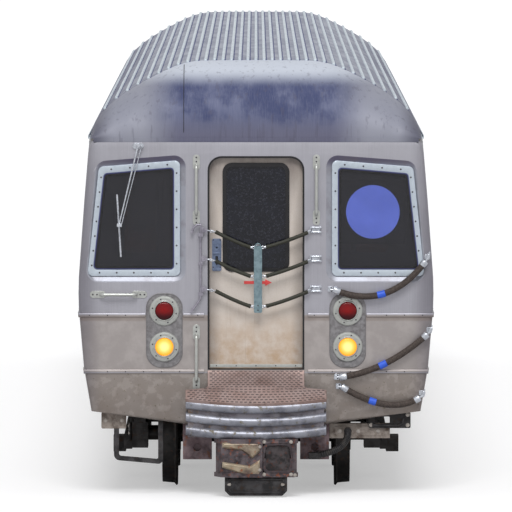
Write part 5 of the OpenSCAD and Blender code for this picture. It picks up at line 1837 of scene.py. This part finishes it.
class CAR_OT_irons(bpy.types.Operator):
    """Step irons, boxes, brackets and hose ends under the end sheets"""

    bl_idname = "car.irons"
    bl_label = "Irons Under the Ends"

    def execute(self, context):
        face, top = FACE + WALL, 0.71
        light, black, mauve, dirty, ends = Solid(), Solid(), Solid(), Solid(), Solid()
        light.prism(rounded(rect(-1.33, top - 0.14, -1.116, top), 0.012, 4), face, face + 0.03)
        outer = rounded([(-1.222, top - 0.135), (-1.222, 0.3), (-0.8, 0.262), (-0.8, top), (-0.842, top),
                         (-0.842, 0.307), (-1.178, 0.336), (-1.178, top - 0.135)],
                        [0, 0.05, 0.04, 0, 0, 0.014, 0.02, 0], 5)
        black.prism(outer, face + 0.002, face + 0.028)
        black.prism(rounded(rect(0.97, top - 0.136, 1.33, top), 0.012, 4), face, face + 0.03,
                    [rounded(rect(1.02, top - 0.1, 1.15, top - 0.036), 0.01, 4)])
        black.tube([(1.0, face - 0.012, top - 0.11), (1.22, face - 0.012, top - 0.112),
                    (1.26, face - 0.014, top - 0.09), (1.27, face - 0.014, top - 0.05)], 0.009, 12)
        for x in (1.01, 1.2):
            black.box((x - 0.012, face - 0.014, top - 0.122), (x + 0.012, face + 0.004, top - 0.1))
        for side in (1, -1):
            outline = rect(0.38, top - 0.406, 0.629, top)
            hole = circle(0.5045, top - 0.3, 0.034, 28)
            if side < 0:
                outline, hole = mirror_x(outline), mirror_x(hole)
            mauve.prism(outline, face + 0.01, face + 0.07, [hole])
            mauve.prism(outline, face + 0.07, face + 0.11)
            cx = side * 0.5045
            mauve.prism(rounded(rect(cx - 0.1, top - 0.2, cx + 0.1, top - 0.05), 0.015, 4), face + 0.002,
                        face + 0.012, [circle(cx, top - 0.125, 0.02, 20)])
        dirty.prism(rect(0.63, top - 0.226, 1.153, top - 0.096), face + 0.03, face + 0.09)
        dirty.prism(rounded(rect(0.68, top - 0.205, 1.1, top - 0.12), 0.01, 3), face + 0.024, face + 0.032)
        y0 = HOSE[0][1]
        ends.turned([(0.034, -0.045), (0.034, 0.0)], (0.79, y0 + 0.03, 0.55), "y", 6)
        ends.turned([(0.028, -0.05), (0.031, -0.045), (0.031, -0.03)], (0.79, y0 + 0.03, 0.55), "y", 24)
        ends.box((0.452, FACE + 0.0202, 0.312), (0.528, FACE + 0.0995, 0.368))
        way = (Vector(HOSE[1]) - Vector(HOSE[2])).normalized()
        tip = Vector(HOSE[2])
        ends.tube([tip + way * 0.02, tip + way * 0.022, tip + way * 0.05, tip + way * 0.054],
                  lambda t: 0.0355 if 0.05 < t < 0.95 else 0.033, 18)
        for s in (light, black, mauve, dirty, ends):
            s.both_ends()
        light.piece("bracket_panels", MADE["dusty_iron"], "carbody", 0.003, slot="black_iron")
        black.piece("step_bars", MADE["black_iron"], "carbody", 0.003, replaces=["step_irons"],
                    slot="black_iron")
        mauve.piece("guide_boxes", MADE["mauve_iron"], "carbody", 0.004, slot="black_iron")
        dirty.piece("tie_beams", MADE["dusty_iron"], "carbody", 0.004, slot="black_iron")
        ends.piece("hose_ends", MADE["black_iron"], "carbody", 0.002, slot="black_iron")
        spots = [((x, face - 0.0002, 0.64), FRONT) for x in (-1.295, -1.155)]
        spots += [((x, face + 0.0018, top - dz), FRONT) for s in (1, -1) for x in (s * 0.425, s * 0.584)
                  for dz in (0.07, 0.18)]
        spots += [((x, face + 0.0238, 0.547), FRONT) for x in (0.72, 0.88, 1.05)]
        spots += [((x, face - 0.0002, z), FRONT) for x in (0.99, 1.305) for z in (0.6, 0.69)]
        scatter("iron_bolts", bolt_head(0.013), turned_round(spots), "bolt_pale", "carbody")
        return {"FINISHED"}


class CAR_OT_roof(bpy.types.Operator):
    """Roof sheet, domed caps and raised ribs"""

    bl_idname = "car.roof"
    bl_label = "Roof"

    def execute(self, context):
        sizes = context.scene.metro_car_sizes
        end = END_Y - CAP_DEPTH
        arch = roof_arch()

        def ring(y, rise, depth=0.0, back=0.0, narrow=0.0):
            top = [(x * (1 - narrow), y, EAVE_Z + (z - depth - EAVE_Z) * rise) for x, z in arch]
            return top + [(x * 0.955, y + back, EAVE_Z + max(0.0, z - EAVE_Z) * 0.9 * rise)
                          for x, z in reversed(arch)]

        shell = Solid()
        shell.loft([ring(-end + 2 * end * k / 24, 1.0) for k in range(25)])
        shell.piece("roof_sheet", MADE["roof_sheet"], "carbody", sharp=40, replaces=["roof"],
                    slot="roof_metal")
        cap = Solid()
        turns = [math.pi / 2 * k / 24 for k in range(25)]
        cap.loft([ring(-END_Y + 0.003 + CAP_DEPTH * (1 - math.cos(a)), max(math.sin(a) ** 0.92, 0.012), 0.003,
                       0.03, 0.012 * (1 - math.sin(a))) for a in turns])
        cap.loft([[(x, FACE - 0.0012, EAVE_Z - 0.03), (x, FACE - 0.003, EAVE_Z - 0.024),
                   (x, FACE - 0.003, EAVE_Z + 0.008), (x, FACE + 0.02, EAVE_Z + 0.008),
                   (x, FACE + 0.02, EAVE_Z - 0.03)] for x in (-1.395, 1.395)])
        cap.both_ends()
        cap.piece("roof_caps", MADE["cap_sheet"], "carbody", sharp=50,
                  replaces=["roof_cap_front", "roof_cap_rear"], slot="roof_metal")
        seams = Solid()
        x = -0.62
        rise = roof_height(x) - 0.003 - EAVE_Z
        seams.tube([(x, -END_Y + 0.003 + CAP_DEPTH * (1 - math.cos(a)), EAVE_Z + rise * math.sin(a) ** 0.92)
                    for a in turns[1:22]], 0.0028, 8)
        seams.both_ends()
        seams.piece("cap_seams", MADE["gasket_black"], "carbody", slot="roof_metal")
        gutter = Solid()
        for side in (1, -1):
            pts = [(side * (EAVE_X - 0.008), EAVE_Z - 0.006), (side * (EAVE_X + 0.012), EAVE_Z - 0.006),
                   (side * (EAVE_X + 0.014), EAVE_Z + 0.022), (side * (EAVE_X + 0.008), EAVE_Z + 0.022),
                   (side * (EAVE_X + 0.006), EAVE_Z + 0.002), (side * (EAVE_X - 0.008), EAVE_Z + 0.002)]
            gutter.prism(pts, -END_Y + 0.12, END_Y - 0.12)
        gutter.piece("roof_gutters", MADE["rib_top"], "carbody", 0.0015, slot="roof_metal")

        half = (sizes.rib_count - 1) // 2
        spots = []
        for i in range(-half, half + 1):
            x = 0.07 * abs(i) + 0.185 * (abs(i) / half) ** 2.6
            slope = (roof_height(x + 0.01) - roof_height(x - 0.01)) / 0.02
            side = -1 if i < 0 else 1
            spots.append(((side * x, 0, roof_height(x) - 0.0005), (-side * slope, 0, 1)))
        w, h = sizes.rib_half_width, sizes.rib_height
        reach = end + 0.03
        rib = Solid()
        shape = [(-reach, 0.3, 0.25), (-reach + 0.004, 0.7, 0.66), (-reach + 0.012, 0.94, 0.92),
                 (-reach + 0.026, 1, 1)]
        section = ((-1, 0), (-1, 0.3), (-0.78, 0.8), (-0.4, 1), (0.4, 1), (0.78, 0.8), (1, 0.3), (1, 0))
        rib.loft([[(u * w * k, y, v * h * r - (0.006 if v == 0 else 0)) for u, v in section]
                  for y, k, r in shape + [(-y, k, r) for y, k, r in reversed(shape)]])
        scatter("roof_ribs", rib, spots, "rib_top", "carbody")
        # painted shadow: a dark strip along the outer foot of each rib, standing in for the shade the rib casts
        # on the sheet
        line = Solid()
        line.box((w - 0.003, -reach + 0.008, -0.004), (w + 0.0095, reach - 0.008, 0.0016))
        scatter("roof_rib_lines", line, spots, "rib_line", "carbody")
        return {"FINISHED"}


# ---------------------------------------------------------------- sides of the car


def wall_x(z, inset):
    return half_width(z) - inset


def curved_plate(s, side, outline, outer, inner, holes=()):
    """Plate that follows the side's curve between two insets; the outline is in (along, height)."""
    made, _ = s.prism(outline, 0.0, 1.0, holes, axis="x")
    for v in made:
        inset = outer if v.co.x > 0.5 else inner
        v.co.x = side * wall_x(v.co.z, inset)
    return made


def curved_bar(s, side, y0, z0, y1, z1, outer, inner, rungs=16):
    """Upright bar that follows the side's curve, as level slices."""
    rings = []
    for k in range(rungs + 1):
        z = z0 + (z1 - z0) * k / rungs
        a, b = side * wall_x(z, outer), side * wall_x(z, inner)
        rings.append([(a, y0, z), (a, y1, z), (b, y1, z), (b, y0, z)])
    s.loft(rings)


def tall_outline(y0, z0, y1, z1, radius, steps=4, rungs=9):
    """Rounded outline whose upright sides are cut into short lengths that can follow the side's curve."""
    ring = rounded(rect(y0, z0, y1, z1), radius, steps)
    out = []
    for a, b in zip(ring, ring[1:] + ring[:1]):
        out.append(a)
        if abs(b[1] - a[1]) > 0.3:
            out += [(a[0] + (b[0] - a[0]) * k / rungs, a[1] + (b[1] - a[1]) * k / rungs)
                    for k in range(1, rungs)]
    return out


class CAR_OT_side_doors(bpy.types.Operator):
    """Sliding leaves of the side doorways, with panes, gaskets, meeting edges and sills"""

    bl_idname = "car.side_doors"
    bl_label = "Side Doors"

    def execute(self, context):
        for side, hand in ((1, "right"), (-1, "left")):
            for way, part in ((-1, "fore"), (1, "aft")):
                body = f"doors_{hand}_{part}"
                panel, seal, glass, edge, spots = Solid(), Solid(), Solid(), Solid(), []
                for yd in DOORWAY_YS:
                    y0, y1 = sorted((yd + way * 0.003, yd + way * 0.665))
                    meet = yd + way * 0.003
                    e0, e1 = sorted((meet, meet + way * 0.022))
                    p0, p1 = (y0 + 0.02, y1) if way > 0 else (y0, y1 - 0.02)
                    pane = tall_outline(y0 + 0.13, 1.851, y1 - 0.13, 2.731, 0.07, 5)
                    curved_plate(panel, side, tall_outline(p0, 1.093, p1, 2.972, 0.006, 2, 14), 0.027, 0.057,
                                 [pane])
                    curved_plate(seal, side, tall_outline(y0 + 0.122, 1.843, y1 - 0.122, 2.739, 0.078, 5),
                                 0.0262, 0.0572, [tall_outline(y0 + 0.142, 1.863, y1 - 0.142, 2.719, 0.058, 5)])
                    curved_plate(glass, side, tall_outline(y0 + 0.138, 1.859, y1 - 0.138, 2.723, 0.062, 5),
                                 0.036, 0.042)
                    curved_bar(edge, side, e0, 1.094, e1, 2.971, 0.0262, 0.0572)
                    curved_plate(panel, side, tall_outline(y0 + 0.1, 1.18, y1 - 0.1, 1.76, 0.05, 4, 4),
                                 0.0262, 0.03)
                    spots += [((side * wall_x(z, 0.027), y, z), (side, 0, 0.02))
                              for z in (1.14, 1.4, 1.68, 1.8, 2.3, 2.8, 2.93)
                              for y in (y0 + 0.045, y1 - 0.045)]
                panel.piece(f"side_door_panels_{hand}_{part}", MADE["side_sheet"], body, 0.002, sharp=25,
                            replaces=[body], slot="stainless")
                seal.piece(f"side_door_seals_{hand}_{part}", MADE["gasket_black"], body, 0.0012, sharp=25,
                           slot="black_rubber")
                glass.piece(f"side_door_panes_{hand}_{part}", MADE["glass_side"], body, sharp=25,
                            slot="window_glass")
                edge.piece(f"side_door_edges_{hand}_{part}", MADE["gasket_black"], body, 0.002, sharp=25,
                           slot="black_rubber")
                scatter(f"side_door_rivets_{hand}_{part}", rivet_head(0.006), spots, "screw_dark", body)
        return {"FINISHED"}


class CAR_OT_side_windows(bpy.types.Operator):
    """Rims and seals of the side windows, and trims round the doorways"""

    bl_idname = "car.side_windows"
    bl_label = "Side Windows"

    def execute(self, context):
        rim, seal, trim, spots = Solid(), Solid(), Solid(), []
        boxes = [(y + d - 0.35, y + d + 0.35) for y in (0.0, -4.3, 4.3) for d in (-0.395, 0.395)]
        boxes += [(s * 8.32 - 0.24, s * 8.32 + 0.24) for s in (1, -1)]
        for side in (1, -1):
            for y0, y1 in boxes:
                curved_plate(rim, side, tall_outline(y0 - 0.022, 1.928, y1 + 0.022, 2.822, 0.06, 5), -0.004,
                             0.02, [tall_outline(y0 + 0.002, 1.952, y1 - 0.002, 2.798, 0.04, 5)])
                curved_plate(seal, side, tall_outline(y0 + 0.001, 1.951, y1 - 0.001, 2.799, 0.041, 5), -0.001,
                             0.04, [tall_outline(y0 + 0.014, 1.964, y1 - 0.014, 2.786, 0.03, 5)])
                spots += [((side * wall_x(z, -0.004), y, z), (side, 0, 0.03))
                          for z in (1.939, 2.81) for y in (y0 + 0.08, (y0 + y1) / 2, y1 - 0.08)]
            for yd in DOORWAY_YS:
                for a, b in ((yd - 0.675, yd - 0.64), (yd + 0.64, yd + 0.675)):
                    curved_bar(trim, side, a, 1.1, b, 3.0, -0.004, 0.01)
                curved_plate(trim, side, tall_outline(yd - 0.675, 2.984, yd + 0.675, 3.02, 0.006, 2), -0.006,
                             0.012)
                a, b = sorted((side * 1.39, side * 1.5))
                trim.box((a, yd - 0.635, FLOOR_Z - 0.004), (b, yd + 0.635, FLOOR_Z + 0.004))
        rim.piece("side_window_rims", MADE["frame_steel"], "carbody", 0.002, sharp=25,
                  replaces=["side_window_frames"], slot="window_frame")
        seal.piece("side_window_seals", MADE["gasket_black"], "carbody", 0.002, sharp=25, slot="black_rubber")
        trim.piece("doorway_trims", MADE["pale_steel"], "carbody", 0.0015, sharp=25, slot="window_frame")
        scatter("side_window_screws", screw_head(0.006), spots, "screw_dark", "carbody")
        return {"FINISHED"}


class CAR_OT_running_gear(bpy.types.Operator):
    """Coil springs with their seats, axle covers, bolts along the truck frames and round each axle cover"""

    bl_idname = "car.running_gear"
    bl_label = "Running Gear"

    def execute(self, context):
        for end, sign in (("front", -1), ("rear", 1)):
            body = f"truck_{end}"
            lo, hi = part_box(body)
            springs, pads, spots = Solid(), Solid(), []
            for side in (1, -1):
                for dy in (-0.36, 0.36):
                    y = sign * TRUCK_Y + dy
                    self.coil(springs, (side * 1.01, y, 0.712), 0.072, 0.013, 0.14, 4.5)
                    springs.turned([(0.09, -0.004), (0.09, 0.006), (0.05, 0.01)], (side * 1.01, y, 0.714),
                                   "z", 24)
                cover = [(r, side * d) for r, d in ((0.0, 0.0), (0.085, 0.0), (0.09, 0.012), (0.09, 0.02),
                                                    (0.06, 0.032), (0, 0.034))]
                for ax in (-AXLE_Y, AXLE_Y):
                    y = sign * TRUCK_Y + ax
                    pads.turned(cover, (side * 1.08, y, AXLE_Z), "x", 28)
                    spots += [((side * 1.1, y + 0.068 * math.cos(t), AXLE_Z + 0.068 * math.sin(t)),
                               (side, 0, 0)) for t in (math.pi / 3 * k for k in range(6))]
                for k in range(12):
                    spots.append(((side * 1.06, sign * TRUCK_Y - 1.2 + k * 0.218, 0.69), (side, 0, 0)))
            springs.piece(f"truck_springs_{end}", MADE["black_iron"], body, sharp=60, slot="truck_iron")
            pads.piece(f"axle_covers_{end}", MADE["truck_iron"], body, 0.002, slot="truck_iron")
            scatter(f"truck_bolts_{end}", bolt_head(0.014), spots, "bolt_pale", body)
        return {"FINISHED"}

    @staticmethod
    def coil(s, foot, radius, wire, height, turns, sides=8):
        count = int(turns * 18)
        s.tube([(foot[0] + radius * math.cos(2 * math.pi * turns * k / count),
                 foot[1] + radius * math.sin(2 * math.pi * turns * k / count),
                 foot[2] + wire + (height - 2 * wire) * k / count) for k in range(count + 1)], wire, sides)


class CAR_OT_side_details(bpy.types.Operator):
    """Rivet lines on the side sheets"""

    bl_idname = "car.side_details"
    bl_label = "Side Rivets and Case Covers"

    def execute(self, context):
        spots = []
        for side in (1, -1):
            for z in (0.76, 1.03, 1.6):
                for k in range(118):
                    y = -8.78 + k * 0.15
                    if z > 1.0 and any(abs(y - yd) < 0.7 for yd in DOORWAY_YS):
                        continue
                    spots.append(((side * half_width(z), y, z), (side, 0, -0.08)))
            for k in range(118):
                y = -8.78 + k * 0.15
                spots.append(((side * half_width(3.035), y, 3.035), (side, 0, 0.08)))
        scatter("side_rivets", rivet_head(0.006), spots, "screw_dark", "carbody")
        return {"FINISHED"}


class CAR_OT_stage(bpy.types.Operator):
    """Camera, pale floor, sky light and one soft sun"""

    bl_idname = "car.stage"
    bl_label = "Stage"

    def execute(self, context):
        scene = context.scene
        scene.view_settings.view_transform = "Standard"
        eye, aim = Vector((0, -END_Y - 69.5, 5.884)), Vector((0, -END_Y, 2.062))
        data = bpy.data.cameras.new("camera")
        data.lens, data.sensor_width = 570.3, 36.0
        data.clip_start, data.clip_end = 1.0, 6000.0
        camera = bpy.data.objects.new("camera", data)
        camera.location = eye
        camera.rotation_euler = (aim - eye).to_track_quat("-Z", "Y").to_euler()
        scene.collection.objects.link(camera)
        scene.camera = camera

        mesh = bpy.data.meshes.new("floor")
        reach = 3000.0
        mesh.from_pydata([(-reach, -reach, 0), (reach, -reach, 0), (reach, reach, 0), (-reach, reach, 0)],
                         [], [(0, 1, 2, 3)])
        floor = bpy.data.objects.new("floor", mesh)
        floor.location.z = CAD_BOX[0].z
        scene.collection.objects.link(floor)
        f = Finish("studio_floor", 0.9, 0.0, Specular_IOR_Level=0.0)
        f.shader.inputs["Base Color"].default_value = (0.66, 0.66, 0.67, 1)
        f.shader.inputs["Emission Color"].default_value = (1, 1, 1, 1)
        seen = f.new("ShaderNodeLightPath").outputs["Is Camera Ray"]
        f.put(f.shader.inputs["Emission Strength"], f.calc("MULTIPLY", seen, 0.42))
        mesh.materials.append(f.mat)

        world = bpy.data.worlds.new("studio")
        world.use_nodes = True
        scene.world = world
        n = Nodes(world.node_tree)
        sky = world.node_tree.nodes["Background"]
        sky.inputs["Color"].default_value = (1.0, 1.0, 1.0, 1)
        path = n.new("ShaderNodeLightPath")
        seen = n.calc("MAXIMUM", path.outputs["Is Camera Ray"], path.outputs["Is Transmission Ray"])
        seen = n.calc("MAXIMUM", seen, n.calc("MULTIPLY", path.outputs["Is Glossy Ray"], 0.55))
        n.put(sky.inputs["Strength"], n.span(seen, 0.0, 1.0, 0.55, 1.0))

        sun = bpy.data.lights.new("sun", "SUN")
        sun.energy = 1.75
        sun.angle = math.radians(26)
        lamp = bpy.data.objects.new("sun", sun)
        lamp.rotation_euler = Vector((0.03, 1.0, -1.15)).to_track_quat("-Z", "Y").to_euler()
        scene.collection.objects.link(lamp)
        return {"FINISHED"}


class CAR_OT_finishes(bpy.types.Operator):
    """Finishes for every surface, and for the frame's own parts"""

    bl_idname = "car.finishes"
    bl_label = "Finishes"

    def execute(self, context):
        make_finishes(context.scene.metro_car_colours)
        return {"FINISHED"}


OPERATORS = [
    CAR_OT_stage, CAR_OT_finishes, CAR_OT_cords, CAR_OT_end_shell, CAR_OT_end_windows,
    CAR_OT_end_doors, CAR_OT_lamps, CAR_OT_handles, CAR_OT_gate, CAR_OT_cable_fittings,
    CAR_OT_wipers, CAR_OT_anticlimber, CAR_OT_couplers, CAR_OT_irons, CAR_OT_roof,
    CAR_OT_side_doors, CAR_OT_side_windows, CAR_OT_running_gear, CAR_OT_side_details,
]


class CAR_PT_builder(bpy.types.Panel):
    """Lists the car's sizes, colours and building steps"""

    bl_idname = "CAR_PT_builder"
    bl_label = "Metro Car"
    bl_space_type = "VIEW_3D"
    bl_region_type = "UI"
    bl_category = "Metro Car"

    def draw(self, context):
        for group_ in (context.scene.metro_car_sizes, context.scene.metro_car_colours):
            box = self.layout.box()
            for key in group_.__annotations__:
                box.prop(group_, key)
        for op in OPERATORS:
            self.layout.operator(op.bl_idname)


CLASSES = [MetroCarSizes, MetroCarColours, *OPERATORS, CAR_PT_builder]


def register():
    for cls in CLASSES:
        bpy.utils.register_class(cls)
    bpy.types.Scene.metro_car_sizes = bpy.props.PointerProperty(type=MetroCarSizes)
    bpy.types.Scene.metro_car_colours = bpy.props.PointerProperty(type=MetroCarColours)


def unregister():
    del bpy.types.Scene.metro_car_sizes
    del bpy.types.Scene.metro_car_colours
    for cls in reversed(CLASSES):
        bpy.utils.unregister_class(cls)


def main():
    register()
    for op in OPERATORS:
        family, name = op.bl_idname.split(".")
        getattr(getattr(bpy.ops, family), name)()


if __name__ == "__main__":
    main()
